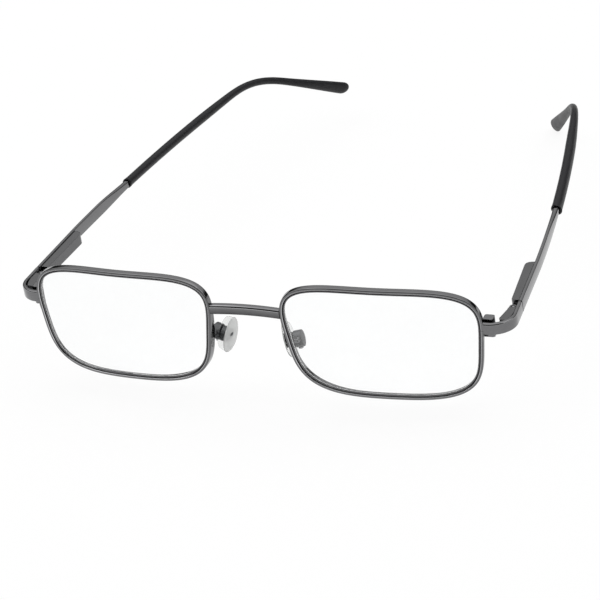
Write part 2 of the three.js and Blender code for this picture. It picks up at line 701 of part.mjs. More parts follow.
function sideAssembly(side) {
  const assembly = new THREE.Group();
  const named = (piece) => `${piece}_${side}`;

  const front = new THREE.Group();
  front.rotation.x = PANTOSCOPIC;
  assembly.add(front);
  const eye = new THREE.Group();
  eye.position.x = LENS.halfSpan;
  front.add(eye);
  add(eye, named('rim'), rimGeometry(), FINISH.gunmetal());
  add(eye, named('lens'), lensGeometry(), FINISH.glass());

  add(front, named('endpiece'), endpieceGeometry(), FINISH.gunmetal());
  add(front, named('rim_lock_upper'), lockGeometry(true), FINISH.gunmetal());
  add(front, named('rim_lock_lower'), lockGeometry(false), FINISH.gunmetal());
  const lockScrewLength = LOCK.top - LOCK.bottom - 1.1;
  const lockScrew = screwGeometry(LOCK.screwRadius, lockHeadRadius, lockHeadDepth - 0.1, lockScrewLength);
  const lockScrewMesh = add(front, named('rim_screw'), lockScrew, FINISH.steel());
  lockScrewMesh.position.set(lock.centre[0], lock.centre[1], LOCK.bottom + 0.06);

  const pad = new THREE.Group();
  pad.position.copy(PAD.place);
  pad.rotation.set(PAD.lean, PAD.frontal, PAD.splay, 'ZYX');
  front.add(pad);
  add(pad, named('pad_box'), padBoxGeometry(), FINISH.hinge());
  add(pad, named('nose_pad'), nosePadGeometry(), FINISH.pad());
  const padScrewLength = 2 * PAD_BOX.radius - 0.2;
  const padScrew = screwGeometry(PAD_BOX.screwRadius, PAD_BOX.screwRadius + 0.3, 0.4, padScrewLength);
  const padScrewMesh = add(pad, named('pad_screw'), padScrew, FINISH.steel());
  padScrewMesh.position.set(padPivot, 0, -PAD_BOX.radius - 0.46);
  const boxOut = vec(1, 0, 0).applyEuler(pad.rotation);
  const boxMiddle = PAD.place.clone().addScaledVector(boxOut, PAD_BOX.thickness * 0.55);
  const boxFront = vec(0, -1, 0).applyEuler(pad.rotation);
  add(front, named('pad_arm'), padArmGeometry(boxMiddle, boxFront), FINISH.gunmetal());

  const hinge = new THREE.Group();
  hinge.position.copy(pin).applyAxisAngle(vec(1, 0, 0), PANTOSCOPIC);
  hinge.rotation.z = TEMPLE.yaw;
  assembly.add(hinge);
  add(hinge, named('hinge_block'), hingeBlockGeometry(), FINISH.hinge());
  const hingeScrew = screwGeometry(HINGE.pinRadius, HINGE.pinRadius + 0.36, 0.45, 2 * HINGE.earHalf + 0.4);
  const hingeScrewMesh = add(hinge, named('hinge_screw'), hingeScrew, FINISH.steel());
  hingeScrewMesh.position.z = -HINGE.earHalf - 0.45 - SEAT;
  add(hinge, named('hinge_carriage'), carriageGeometry(), FINISH.steel());
  add(hinge, named('hinge_spring'), springGeometry(), FINISH.steel());
  add(hinge, named('rod_nut'), rodNutGeometry(), FINISH.steel());
  add(hinge, named('spring_housing'), housingGeometry(), FINISH.hinge());
  add(hinge, named('temple'), templeGeometry(EAR[side]), FINISH.gunmetal());
  add(hinge, named('temple_tip'), tipGeometry(EAR[side]), FINISH.tip());
  return assembly;
}

const glasses = new THREE.Group();
const left = sideAssembly('left');
const right = sideAssembly('right');
right.scale.x = -1;
const middle = new THREE.Group();
middle.rotation.x = PANTOSCOPIC;
add(middle, 'bridge', bridgeGeometry(), FINISH.gunmetal());
glasses.add(left, right, middle);

// The origin stands under the middle of the whole, at its lowest point
glasses.updateMatrixWorld(true);
const bounds = new THREE.Box3().setFromObject(glasses, true);
glasses.position.set(0, -(bounds.min.y + bounds.max.y) / 2, -bounds.min.z);

const part = new THREE.Group();
part.add(glasses);
export default part;
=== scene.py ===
"""Metal reading glasses: fine rims, lenses, bridge, hinges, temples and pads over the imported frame."""
import json
import math
from types import SimpleNamespace

import bmesh
import bpy
import numpy as np
from mathutils import Matrix, Vector


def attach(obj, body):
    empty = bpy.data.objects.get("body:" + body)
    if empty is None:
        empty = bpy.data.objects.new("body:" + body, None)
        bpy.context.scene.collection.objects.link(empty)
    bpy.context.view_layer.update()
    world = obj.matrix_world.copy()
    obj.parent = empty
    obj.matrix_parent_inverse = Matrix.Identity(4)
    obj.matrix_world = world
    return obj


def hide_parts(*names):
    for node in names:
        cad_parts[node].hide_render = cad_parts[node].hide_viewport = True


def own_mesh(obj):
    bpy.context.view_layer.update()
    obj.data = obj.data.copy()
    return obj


bl_info = {
    "name": "Reading Glasses",
    "version": (1, 0, 0),
    "blender": (4, 5, 0),
    "location": "View3D > Sidebar > Glasses",
    "description": "Builds the fine pieces, finishes and studio of a pair of metal reading glasses",
    "category": "Object",
}

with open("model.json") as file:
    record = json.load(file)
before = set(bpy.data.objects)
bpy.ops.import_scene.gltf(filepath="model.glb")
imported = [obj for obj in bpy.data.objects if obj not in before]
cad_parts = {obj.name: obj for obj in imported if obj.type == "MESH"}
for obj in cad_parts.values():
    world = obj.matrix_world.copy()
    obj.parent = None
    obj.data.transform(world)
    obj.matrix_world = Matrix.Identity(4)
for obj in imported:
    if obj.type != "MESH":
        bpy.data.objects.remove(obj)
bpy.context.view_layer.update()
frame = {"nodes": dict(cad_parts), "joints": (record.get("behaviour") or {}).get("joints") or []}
JOINTS = {joint["name"]: joint for joint in frame["joints"]}

# Shape of the part in millimetres, as in its source
RAD = math.pi / 180
MM = 0.001
SEAT = 0.04
SIDES = {"left": 1.0, "right": -1.0}
PANTOSCOPIC = 1.56 * RAD
LENS = SimpleNamespace(
    span=35.57, width=49.4, height=31.4, square=3.78, temporal=6.66 * RAD, nasal=8.55 * RAD,
    brow=-3.36 * RAD, wrap=7.43 * RAD, base=128.0, edge_front=0.55, edge_back=0.2, front=0.5, back=0.35,
    rings=(0.02, 0.15, 0.3, 0.45, 0.6, 0.75, 0.88, 0.97),
)
RIM = SimpleNamespace(
    width=1.36, depth=1.9, groove=0.36, mouth=0.32, nasal_depth=0.8, nasal_from=6.0, nasal_to=22.0,
    nasal_top=9.0, ledge=0.66, step=0.16, wall=0.1, channel=0.14, crease=0.04, ledge_round=0.14,
    lip_round=0.12, lock_round=0.1, lock_from=1.9, lock_to=4.0, back_share=0.65,
)
SLIT = SimpleNamespace(height=3.4, gap=0.04)
BRIDGE = SimpleNamespace(height=2.75, depth=1.7, level=8.05, arch=0.4, bevel=0.4, stations=49)
RIBBON = SimpleNamespace(
    thickness=1.05, height=3.3, split=3.5, bevel=0.28, bend=6.5, rise=0.5, inset=0.02, overlap=0.15,
    bend_steps=41, tail_from=0.15, tail_steps=8, source_steps=12,
)
TEMPLE = SimpleNamespace(
    start=np.array([67.15, 18.6, 2.68]), yaw=5.0 * RAD, length=147.0, bow=0.0009, bow_from=10.0,
    bow_start=17.0, bow_full=24.0, neck_from=33.0, neck_to=50.0, neck_past=0.4, neck_height=2.0,
    neck_thickness=1.65, neck_bevel=0.5, neck_round=0.3, core_height=1.0, core_thickness=0.56,
    core_bevel=0.15, core_round=0.04, core_step=0.6, core_short=9.0, reach=0.14,
)
EAR = {
    "right": SimpleNamespace(start=99.2, over=25.8, drop=27.6 * RAD, inward=17.0 * RAD),
    "left": SimpleNamespace(start=94.9, over=24.6, drop=36.2 * RAD, inward=14.6 * RAD),
}
TIP = SimpleNamespace(
    start=48.5, cant=38 * RAD, paddle_cant=20 * RAD, long=1.54, short=1.26, waist_long=1.04,
    waist_short=0.99, waist_lead=14.0, waist_full=0.5, paddle=2.0, paddle_from=0.85, paddle_past=2.0,
    turn_full=1.2, round=2.4, lip=0.08, lip_run=2.0, lip_share=0.93, lip_in=0.05, lip_out=0.12,
    mouth=1.1, mouth_from=0.35, mouth_to=6.0, body_from=7.0, bore_past=0.5, bore_gap=2.5 * SEAT,
    bore_power=3.5,
)
HINGE = SimpleNamespace(half=1.0, split=1.75, butt=0.5)
SPRING = SimpleNamespace(coil=0.53, wire=0.12, turns=10, steps=24, sides=10, start=4.66, end=13.34, pull=0.95)
PAD = SimpleNamespace(
    place=np.array([10.3, 5.06, -3.0]), lean=-10 * RAD, frontal=-10 * RAD, splay=12 * RAD,
    half_width=3.45, half_height=5.0, rise=0.35, thickness=2.4, clear=0.3, taper=0.14, point=0.01, sides=64,
)
PAD_BOX = SimpleNamespace(
    radius=2.2, thickness=2.3, slot=0.92, slot_floor=0.3, slot_power=8.0, round=0.24, sides=48, lug=0.7,
    lug_short=0.45,
)
PAD_CORE = SimpleNamespace(face=1.035, sides=36, plug_power=2.2, lug_power=5.0)
PAD_ARM = SimpleNamespace(
    level=-1.0, radius=0.55, foot=0.2, lead=0.5, entry=0.2, depth=0.55, lift=0.5, tilt=0.3, flare=0.25,
    flare_end=0.2, flare_start=0.75, sides=24, steps=16,
)
END_EASE = 0.03

# Rows of a pad from its box side to its nose side: share of the thickness and share of the width
PAD_FACE = (
    (0.86, 0.0), (0.86, 0.9), (0.865, 0.96), (0.88, 0.985), (0.91, 1.0), (0.94, 0.99), (0.965, 0.96),
    (0.985, 0.89), (1.0, 0.7), (1.015, 0.35), (1.02, 0.0),
)
PAD_BODY = (
    (0.0, 0.0), (0.0, 0.74), (0.015, 0.83), (0.05, 0.88), (0.12, 0.91), (0.3, 0.945), (0.6, 0.97),
    (0.8, 0.975), (0.83, 0.97), (0.85, 0.94), (0.855, 0.9), (0.855, 0.0),
)

# Weights of the painted shade lines and the painted highlight lines at the corners of each section, and
# points in a corner's arc
RIM_ARC, BRIDGE_ARC, BAR_ARC = 6, 3, 2
RIM_PAINTED_SHADE = (0, 1, 0.8, 0.3, 0, 0, 0, 0, 0, 0, 0)
RIM_PAINTED_HIGHLIGHT = (0, 0, 0, 0, 1, 0, 0, 0, 0, 0, 0)
CHANNEL_PAINTED_SHADE = (0, 0, 0, 0, 0, 1, 1, 0.3, 0.15, 0, 0)
BRIDGE_PAINTED_SHADE = (0, 0.1, 0, 0.4, 0.6, 0.6, 0.6, 0)
BRIDGE_LOWER_PAINTED_SHADE = ((1, 1, 0.9, 0.6), (0.6, 1, 1, 1))
BRIDGE_PAINTED_HIGHLIGHT = (0, 1, 0, 0, 0, 0, 0, 0)
BAR_PAINTED_SHADE = (0.3, 0.3, 0.3, 0.7, 0.7, 0.7, 0.7, 0.5)
BAR_PAINTED_HIGHLIGHT = (0, 0.5, 0, 0, 0, 0, 0, 0)

# How finely lines and corners are worked out
ROUND_STEPS, ARC_STEPS = 6000, 4000
NASAL_ARC = (1.25 * math.pi, 0.75 * math.pi)
TEMPORAL_ARC = (-0.7, 0.7)
CORNER_SHARE, LEAST_END = 0.48, 0.3


def unit(vectors):
    """Vectors scaled to length one."""
    vectors = np.asarray(vectors, float)
    return vectors / np.linalg.norm(vectors, axis=-1, keepdims=True)


def mix(a, b, t):
    """Value between a and b."""
    return a + (b - a) * t


def smooth(start, end, x):
    """Smooth step from 0 to 1."""
    t = np.clip((np.asarray(x, float) - start) / (end - start), 0, 1)
    return t * t * (3 - 2 * t)


def turned_x(points, angle):
    """Points turned about the X axis."""
    c, s = math.cos(angle), math.sin(angle)
    return np.asarray(points, float) @ np.array([[1, 0, 0], [0, c, s], [0, -s, c]])


def turned_z(points, angle):
    """Points turned about the Z axis."""
    c, s = math.cos(angle), math.sin(angle)
    return np.asarray(points, float) @ np.array([[c, s, 0], [-s, c, 0], [0, 0, 1]])


RIBBON_OUT = HINGE.half + SEAT + RIBBON.thickness / 2
ALONG = np.array([-math.sin(TEMPLE.yaw), math.cos(TEMPLE.yaw), 0.0])
OUT = np.array([math.cos(TEMPLE.yaw), math.sin(TEMPLE.yaw), 0.0])
PIN = TEMPLE.start - HINGE.split * ALONG - RIBBON_OUT * OUT
PIN_PLACED = np.array(JOINTS["fold_left"]["pos_m"]) * 1000
SHIFT = PIN_PLACED - turned_x(PIN, PANTOSCOPIC)
LENS_BACK = np.array([-math.sin(LENS.wrap), math.cos(LENS.wrap), 0.0])


def front_place(side):
    """Function that moves points of the front into the row frame."""
    return lambda points: (turned_x(points, PANTOSCOPIC) + SHIFT) * [SIDES[side], 1, 1]


def eye_place(side):
    """Function that moves points given from a lens centre into the row frame."""
    whole = front_place(side)
    return lambda points: whole(np.asarray(points) + [LENS.span, 0, 0])


def hinge_place(side):
    """Function that moves points given from a hinge pin into the row frame."""
    return lambda points: (turned_z(points, TEMPLE.yaw) + PIN_PLACED) * [SIDES[side], 1, 1]


def pad_axes():
    """Rows are the pad frame's X, Y and Z axes in the front's frame."""
    turn = Matrix.Rotation(PAD.splay, 3, "Z") @ Matrix.Rotation(PAD.frontal, 3, "Y")
    return np.array(turn @ Matrix.Rotation(PAD.lean, 3, "X")).T


def pad_place(side):
    """Function that moves points given from a pad box into the row frame."""
    whole = front_place(side)
    return lambda points: whole(np.asarray(points) @ pad_axes() + PAD.place)


# Centre lines
def full_turn(count):
    """Even angles round a circle."""
    return np.linspace(0, 2 * math.pi, count, endpoint=False)


def run_along(points):
    """Distance along a line at each of its points."""
    return np.concatenate([[0], np.cumsum(np.linalg.norm(np.diff(points, axis=0), axis=1))])


def points_at(places, run, line):
    """Points of a line at distances along it."""
    return np.stack([np.interp(places, run, line[:, k]) for k in range(3)], 1)


def lens_mid(x, z):
    """Depth of the lens's middle surface."""
    return (x * x + z * z) / (2 * LENS.base) + x * math.tan(LENS.wrap)


def rim_points(angle):
    """Points of the rim's centre line at polar angles."""
    half_w, half_h, n = LENS.width / 2, LENS.height / 2, LENS.square
    c, s = np.cos(angle), np.sin(angle)
    r = (np.abs(c / half_w) ** n + np.abs(s / half_h) ** n) ** (-1 / n)
    fx, fz = r * c, r * s
    side = fx / half_w
    lean = ((1 + side) * math.tan(LENS.temporal) - (1 - side) * math.tan(LENS.nasal)) / 2
    x = fx + fz * lean
    z = fz + fx * math.tan(LENS.brow)
    return np.stack([x, lens_mid(x, z), z], 1)


def rim_frames(count):
    """Evenly spaced stations round the rim from one side of the slit to the other."""
    rise = SLIT.height - LENS.width / 2 * math.tan(LENS.brow)
    middle = math.atan2(rise, LENS.width / 2)
    half = SLIT.gap / LENS.width
    dense = rim_points(np.linspace(middle + half, middle + 2 * math.pi - half, ROUND_STEPS))
    run = run_along(dense)
    points = points_at(np.linspace(0, run[-1], count), run, dense)
    out = unit(np.cross(LENS_BACK, np.gradient(points, axis=0)))
    flip = (out[:, 0] * points[:, 0] + out[:, 2] * points[:, 2]) < 0
    out[flip] *= -1
    return points, out, np.tile(LENS_BACK, (count, 1))


def rim_back(x, z):
    """Distance from the middle of the groove to the rim's back, which is deeper beside the nose."""
    inward, below = smooth(RIM.nasal_from, RIM.nasal_to, -x), 1 - smooth(0, RIM.nasal_top, z)
    return RIM.depth / 2 + RIM.nasal_depth * inward * below


def rim_at_height(height, nasal):
    """Point of the rim and its outward direction at a height, in the front's frame."""
    line = rim_points(np.linspace(*(NASAL_ARC if nasal else TEMPORAL_ARC), ARC_STEPS))
    at = int(np.argmin(np.abs(line[:, 2] - height)))
    out = unit(np.cross(LENS_BACK, line[at + 1] - line[at - 1]))
    if out[0] * line[at, 0] < 0:
        out = -out
    return line[at] + [LENS.span, 0, 0], out


def temple_frames(ear, distances):
    """Stations of a temple in its hinge's frame at distances from the split."""
    step = 0.5
    knots = np.arange(0, TEMPLE.length + 2 * step, step)

    def heading(s):
        bent = smooth(ear.start, ear.start + ear.over, s)
        bowed = smooth(TEMPLE.bow_start, TEMPLE.bow_full, s)
        yaw = 2 * TEMPLE.bow * (s - TEMPLE.bow_from) * bowed + ear.inward * bent
        dip = ear.drop * bent
        along = np.stack([-np.sin(yaw) * np.cos(dip), np.cos(yaw) * np.cos(dip), -np.sin(dip)], 1)
        return yaw, along

    travel = np.concatenate([np.zeros((1, 3)), np.cumsum(heading(knots)[1] * step, axis=0)])[:-1]
    line = travel + [RIBBON_OUT, HINGE.split, 0]
    s = np.asarray(distances, float)
    points = points_at(s, knots, line)
    yaw, along = heading(s)
    out = np.stack([np.cos(yaw), np.sin(yaw), np.zeros_like(yaw)], 1)
    return points, out, unit(np.cross(out, along))


def centripetal(knots, steps):
    """Smooth line through the knots, as a centripetal spline."""
    knots = np.concatenate([[2 * knots[0] - knots[1]], knots, [2 * knots[-1] - knots[-2]]])

    def between(s, t, p, k, reach):
        return ((t[k + reach] - s) * p[0] + (s - t[k]) * p[1]) / (t[k + reach] - t[k])

    line = []
    for i in range(1, len(knots) - 2):
        p = knots[i - 1:i + 3]
        gaps = np.linalg.norm(np.diff(p, axis=0), axis=1) ** 0.5
        t = np.concatenate([[0], np.cumsum(gaps)])
        for s in np.linspace(t[1], t[2], steps, endpoint=i == len(knots) - 3):
            a = [between(s, t, p[k:k + 2], k, 1) for k in range(3)]
            b = [between(s, t, a[k:k + 2], k, 2) for k in range(2)]
            line.append(between(s, t, b, 1, 1))
    return np.array(line)


# Sections and skins
def rounded(corners, radius, steps=3):
    """Closed outline with each corner replaced by a small arc, of one radius or of one for each corner."""
    corners = np.asarray(corners, float)
    radii = np.broadcast_to(radius, len(corners))
    outline = []
    for i, corner in enumerate(corners):
        before, after = corners[i - 1] - corner, corners[(i + 1) % len(corners)] - corner
        reach = min(radii[i], CORNER_SHARE * np.linalg.norm(before), CORNER_SHARE * np.linalg.norm(after))
        a, b = corner + unit(before) * reach, corner + unit(after) * reach
        for t in np.linspace(0, 1, steps + 1):
            outline.append((1 - t) ** 2 * a + 2 * t * (1 - t) * corner + t * t * b)
    return np.array(outline)


def corner_lines(shares, steps):
    """Weight of a painted line at each point of a rounded outline, for the painted shade and the painted
    highlight alike: most in the middle of each arc.
    """
    arc = np.sqrt(np.abs(np.sin(np.linspace(0, math.pi, steps + 1))))
    return np.concatenate([share * arc for share in shares])


# Painted shade and painted highlight weights round the bars of endpieces and temples
BAR_PAINTED_LINES = dict(lines=corner_lines(BAR_PAINTED_SHADE, BAR_ARC), painted_highlight=corner_lines(BAR_PAINTED_HIGHLIGHT, BAR_ARC))


def bevelled_bar(thickness, height, bevel):
    """Bar section with full bevels on its outer edges and half ones on its inner edges."""
    t, h, b = thickness / 2, height / 2, bevel
    return [(t, -h + b), (t, h - b), (t - b, h), (-t + b / 2, h),
            (-t, h - b / 2), (-t, -h + b / 2), (-t + b / 2, -h), (t - b, -h)]


def oval(half_u, half_v, cant, count):
    """Oval section turned by an angle."""
    angle = full_turn(count)
    a, b = half_u * np.cos(angle), half_v * np.sin(angle)
    c, s = math.cos(cant), math.sin(cant)
    return np.stack([a * c - b * s, a * s + b * c], 1)


def soft_box(half_u, half_v, count, power):
    """Nearly rectangular section with the point order of an oval."""
    angle = full_turn(count)
    c, s = np.cos(angle), np.sin(angle)
    u = half_u * np.sign(c) * np.abs(c) ** (2 / power)
    v = half_v * np.sign(s) * np.abs(s) ** (2 / power)
    return np.stack([u, v], 1)


def rings_along(frames, section_at):
    """Rings of points: a section set at each station."""
    points, out, up = frames
    rings = []
    for i in range(len(points)):
        section = np.asarray(section_at(i))
        rings.append(points[i] + section[:, :1] * out[i] + section[:, 1:] * up[i])
    return rings


def eased_ends(rings, depth):
    """Rings with both ends drawn in, so that the end edges are rounded."""
    start, end = rings[0], rings[-1]
    inward = unit(rings[1].mean(0) - start.mean(0)) * depth
    outward = unit(rings[-2].mean(0) - end.mean(0)) * depth

    def drawn_in(ring):
        middle = ring.mean(0)
        spread = np.linalg.norm(ring - middle, axis=1, keepdims=True)
        return middle + (ring - middle) * np.clip(1 - depth / spread, LEAST_END, 1)

    return [drawn_in(start), start + inward, start + 2 * inward, *rings[1:-1],
            end + 2 * outward, end + outward, drawn_in(end)]


def bands(rows, count):
    """Faces between neighbouring rings."""
    faces = []
    for i in range(rows - 1):
        here, there = i * count, (i + 1) * count
        for j in range(count):
            k = (j + 1) % count
            faces.append((here + j, here + k, there + k, there + j))
    return faces


def skin(rings):
    """Vertices and faces of a row of rings with closed ends."""
    rows, count = len(rings), len(rings[0])
    faces = bands(rows, count)
    faces.append(tuple(reversed(range(count))))
    faces.append(tuple(range((rows - 1) * count, rows * count)))
    return np.concatenate(rings), faces


def placed(name, data):
    """Object linked into the scene."""
    made = bpy.data.objects.new(name, data)
    bpy.context.scene.collection.objects.link(made)
    return made


def piece(name, rings, place, body, slot, material, stands_for=None, sharp=38, lines=None, painted_highlight=None):
    """Mesh object skinned over rings in millimetres, riding on a body."""
    points, faces = skin(rings)
    mesh = bpy.data.meshes.new(name)
    work = bmesh.new()
    work.verts.layers.float.new("painted_shade_line")
    work.verts.layers.float.new("painted_highlight_line")
    verts = [work.verts.new(p) for p in np.asarray(place(points)) * MM]
    # Weights of the painted shade line and the painted highlight line at each point, read by the metal
    # finishes
    for layer_name, weights in (("painted_shade_line", lines), ("painted_highlight_line", painted_highlight)):
        layer = work.verts.layers.float[layer_name]
        if weights is not None:
            for vert, weight in zip(verts, np.tile(weights, len(rings))):
                vert[layer] = weight
    for face in faces:
        work.faces.new([verts[i] for i in face])
    bmesh.ops.remove_doubles(work, verts=work.verts, dist=1e-7)
    bmesh.ops.recalc_face_normals(work, faces=work.faces)
    for face in work.faces:
        face.smooth = True
    work.to_mesh(mesh)
    work.free()
    mesh.set_sharp_from_angle(angle=sharp * RAD)
    mesh.materials.append(bpy.data.materials[material])
    made = placed(name, mesh)
    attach(made, body)
    if stands_for:
        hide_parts(stands_for)
    return made


def dress(node_name, material, bevel):
    """Gives a CAD node its finish and rounded edges."""
    kept = frame["nodes"][node_name]
    kept.data.materials.clear()
    kept.data.materials.append(bpy.data.materials[material])
    weld = kept.modifiers.new("Weld", "WELD")
    weld.merge_threshold = 1e-6
    edge = kept.modifiers.new("Rounded edges", "BEVEL")
    edge.width = bevel
    edge.segments = 3
    edge.limit_method = "ANGLE"
    edge.angle_limit = 32 * RAD


# Finishes
NOISE_LOW, NOISE_HIGH = 0.3, 0.7
ROUGH_SPREAD = 0.15
# Colours of the painted shade and the painted highlight, as shares of the metal's colour
PAINTED_SHADE_LEVEL, PAINTED_HIGHLIGHT_LEVEL = 0.04, 3.6


def grey(level):
    """Grey of one level."""
    return (level, level, level, 1.0)


def shade(colour, factor):
    """Colour made darker or lighter."""
    return (colour[0] * factor, colour[1] * factor, colour[2] * factor, 1.0)


def feed(tree, made, values):
    """Links and constants put into a node's inputs."""
    for key, value in values.items():
        if isinstance(value, bpy.types.NodeSocket):
            tree.links.new(value, made.inputs[key])
        else:
            made.inputs[key].default_value = value


def node(tree, kind, values=None, **settings):
    """Shader node with its settings, and with links and constants in its inputs."""
    made = tree.nodes.new("ShaderNode" + kind)
    for key, value in settings.items():
        setattr(made, key, value)
    feed(tree, made, values or {})
    return made


def combined(tree, operation, a, b):
    """Result of a sum, product or comparison of two values."""
    return node(tree, "Math", {0: a, 1: b}, operation=operation).outputs["Value"]


def tinted(tree, factor, a, b):
    """Colour between two colours."""
    return node(tree, "Mix", {"Factor": factor, "A": a, "B": b}, data_type="RGBA").outputs["Result"]


def noise(tree, scale):
    """Plain noise over an object."""
    place = node(tree, "TexCoord").outputs["Object"]
    return node(tree, "TexNoise", {"Vector": place, "Scale": scale}).outputs["Fac"]


def widened(tree, value, least=0.0):
    """Noise spread from a least value up to 1."""
    return node(tree, "MapRange", {
        "Value": value, "From Min": NOISE_LOW, "From Max": NOISE_HIGH, "To Min": least}).outputs["Result"]


def new_group(name, inputs, outputs):
    """Node group with its named sockets: its tree, what enters it and its way out."""
    tree = bpy.data.node_groups.new(name, "ShaderNodeTree")
    for label, value in inputs.items():
        kind = "NodeSocketFloat" if isinstance(value, float) else "NodeSocketColor"
        tree.interface.new_socket(name=label, in_out="INPUT", socket_type=kind).default_value = value
    for label, kind in outputs.items():
        tree.interface.new_socket(name=label, in_out="OUTPUT", socket_type="NodeSocket" + kind)
    return tree, tree.nodes.new("NodeGroupInput").outputs, tree.nodes.new("NodeGroupOutput")


def polish_group():
    """Fine polishing lines and cloudy handling marks on plated metal or glossy plastic."""
    tree, enter, leave = new_group(
        "Polish marks",
        {"Dark Colour": grey(0.1), "Light Colour": grey(0.3), "Roughness Low": 0.2, "Roughness High": 0.4,
         "Cloud Scale": 220.0, "Line Scale": 1400.0},
        {"Colour": "Color", "Roughness": "Float", "Height": "Float"})
    place = node(tree, "TexCoord").outputs["Object"]
    clouds = node(tree, "TexNoise", {
        "Vector": place, "Scale": enter["Cloud Scale"], "Detail": 4.0, "Roughness": 0.55}).outputs["Fac"]
    stretch = node(tree, "Mapping", {"Vector": place, "Scale": (1.0, 0.12, 1.0)}).outputs["Vector"]
    lines = node(tree, "TexNoise", {
        "Vector": stretch, "Scale": enter["Line Scale"], "Detail": 3.0}).outputs["Fac"]
    blend = node(tree, "Mix", {"Factor": 0.35, "A": clouds, "B": lines}, data_type="FLOAT")
    marks = widened(tree, blend.outputs["Result"])
    rough = node(tree, "MapRange", {
        "Value": marks, "To Min": enter["Roughness Low"], "To Max": enter["Roughness High"]})
    feed(tree, leave, {
        "Colour": tinted(tree, marks, enter["Dark Colour"], enter["Light Colour"]),
        "Roughness": rough.outputs["Result"], "Height": lines})


def painted_shade_and_highlight_group():
    """Painted shade line and painted highlight line, laid into the base colour along edges, corners and
    grooves where dark and bright reflections and shade fall, in small patches.
    """
    tree, enter, leave = new_group(
        "Painted shade and highlight lines",
        {"Colour": grey(0.2), "Painted Shade Colour": grey(0.05), "Painted Highlight Colour": grey(0.5), "Amount": 0.5},
        {"Colour": "Color"})
    patches = widened(tree, noise(tree, scale=300.0), least=0.75)
    line, painted_highlight = (
        combined(tree, "MULTIPLY", node(tree, "Attribute", attribute_name=layer).outputs["Fac"], patches)
        for layer in ("painted_shade_line", "painted_highlight_line"))
    # Painted shade darkens the colour along the lines, then painted highlight lightens it
    dark = tinted(
        tree, combined(tree, "MULTIPLY", line, enter["Amount"]), enter["Colour"], enter["Painted Shade Colour"])
    feed(tree, leave, {"Colour": tinted(tree, painted_highlight, dark, enter["Painted Highlight Colour"])})


def new_finish(name):
    """Tree and Principled shader of a new material."""
    made = bpy.data.materials.new(name)
    made.use_nodes = True
    return made.node_tree, made.node_tree.nodes["Principled BSDF"]


def group_in(tree, name, values):
    """What comes out of a node group placed in a material with its own values."""
    return node(tree, "Group", values, node_tree=bpy.data.node_groups[name]).outputs


def marked(tree, colour, rough, spread, clouds=220.0, lines=1400.0):
    """Polish marks round a colour and a roughness."""
    return group_in(tree, "Polish marks", {
        "Dark Colour": shade(colour, 1 - spread), "Light Colour": shade(colour, 1 + spread),
        "Roughness Low": rough * (1 - ROUGH_SPREAD), "Roughness High": rough * (1 + ROUGH_SPREAD),
        "Cloud Scale": clouds, "Line Scale": lines})


def bumped(tree, height, strength, distance, rounding=0.0):
    """Normal from a height, over edges that look rounded."""
    bump = node(tree, "Bump", {"Height": height, "Strength": strength, "Distance": distance})
    if rounding:
        bevel = node(tree, "Bevel", {"Radius": rounding}, samples=6)
        feed(tree, bump, {"Normal": bevel.outputs["Normal"]})
    return bump.outputs["Normal"]


def two_surfaces(tree, factor, first, second):
    """Surface of a material mixed from two shaders."""
    pick = node(tree, "MixShader", {"Fac": factor, 1: first.outputs[0], 2: second.outputs[0]})
    feed(tree, tree.nodes["Material Output"], {"Surface": pick.outputs["Shader"]})


def metal_finish(name, colour, rough, line=0.0, rounding=0.0):
    """Plated metal with polish marks, painted shade and painted highlight lines along its edges, and rounded
    edges.
    """
    tree, shader = new_finish(name)
    marks = marked(tree, colour, rough, spread=0.06)
    # Painted shade and painted highlight lines go into the base colour; line sets how strong the painted
    # shade is
    edges = group_in(tree, "Painted shade and highlight lines", {
        "Colour": marks["Colour"], "Painted Shade Colour": shade(colour, PAINTED_SHADE_LEVEL),
        "Painted Highlight Colour": shade(colour, PAINTED_HIGHLIGHT_LEVEL), "Amount": line})
    feed(tree, shader, {
        "Base Color": edges["Colour"], "Roughness": marks["Roughness"], "Metallic": 1.0,
        "Normal": bumped(tree, marks["Height"], strength=0.05, distance=4e-6, rounding=rounding)})


def sleeve_finish(name, colour, rough):
    """Satin plastic of the ear sleeves."""
    tree, shader = new_finish(name)
    marks = marked(tree, colour, rough, spread=0.2, clouds=320.0, lines=1900.0)
    feed(tree, shader, {
        "Base Color": marks["Colour"], "Roughness": marks["Roughness"], "IOR": 1.49,
        "Specular IOR Level": 0.22, "Normal": bumped(tree, marks["Height"], strength=0.08, distance=1e-5)})


def clear_finish(name, colour, rough, transmission, shadow, bend):
    """Clear glass or plastic that lets most light through its shadow."""
    tree, shader = new_finish(name)
    marks = marked(tree, colour, rough, spread=0.01, clouds=90.0, lines=900.0)
    feed(tree, shader, {
        "Base Color": marks["Colour"], "Roughness": marks["Roughness"],
        "Transmission Weight": transmission, "IOR": bend})
    through = node(tree, "BsdfTransparent", {"Color": grey(shadow)})
    two_surfaces(tree, node(tree, "LightPath").outputs["Is Shadow Ray"], shader, through)


def floor_finish(name, colour, glow_share):
    """Pale floor that looks white in view, in metal and through glass, and keeps a soft shadow."""
    tree, shader = new_finish(name)
    paper = tinted(tree, noise(tree, scale=30.0), shade(colour, 0.985), shade(colour, 1.0))
    feed(tree, shader, {"Base Color": paper, "Roughness": 0.9, "Specular IOR Level": 0.1})
    path = node(tree, "LightPath").outputs
    seen = path["Is Camera Ray"]
    for ray in ("Is Glossy Ray", "Is Transmission Ray"):
        seen = combined(tree, "MAXIMUM", seen, path[ray])
    glow = node(tree, "Emission", {"Strength": 1.0})
    two_surfaces(tree, combined(tree, "MULTIPLY", seen, glow_share), shader, glow)


# Settings
def length_setting(name, words, millimetres):
    """Length property given in millimetres."""
    return bpy.props.FloatProperty(
        name=name, description=words, default=millimetres * MM, unit="LENGTH", precision=5)


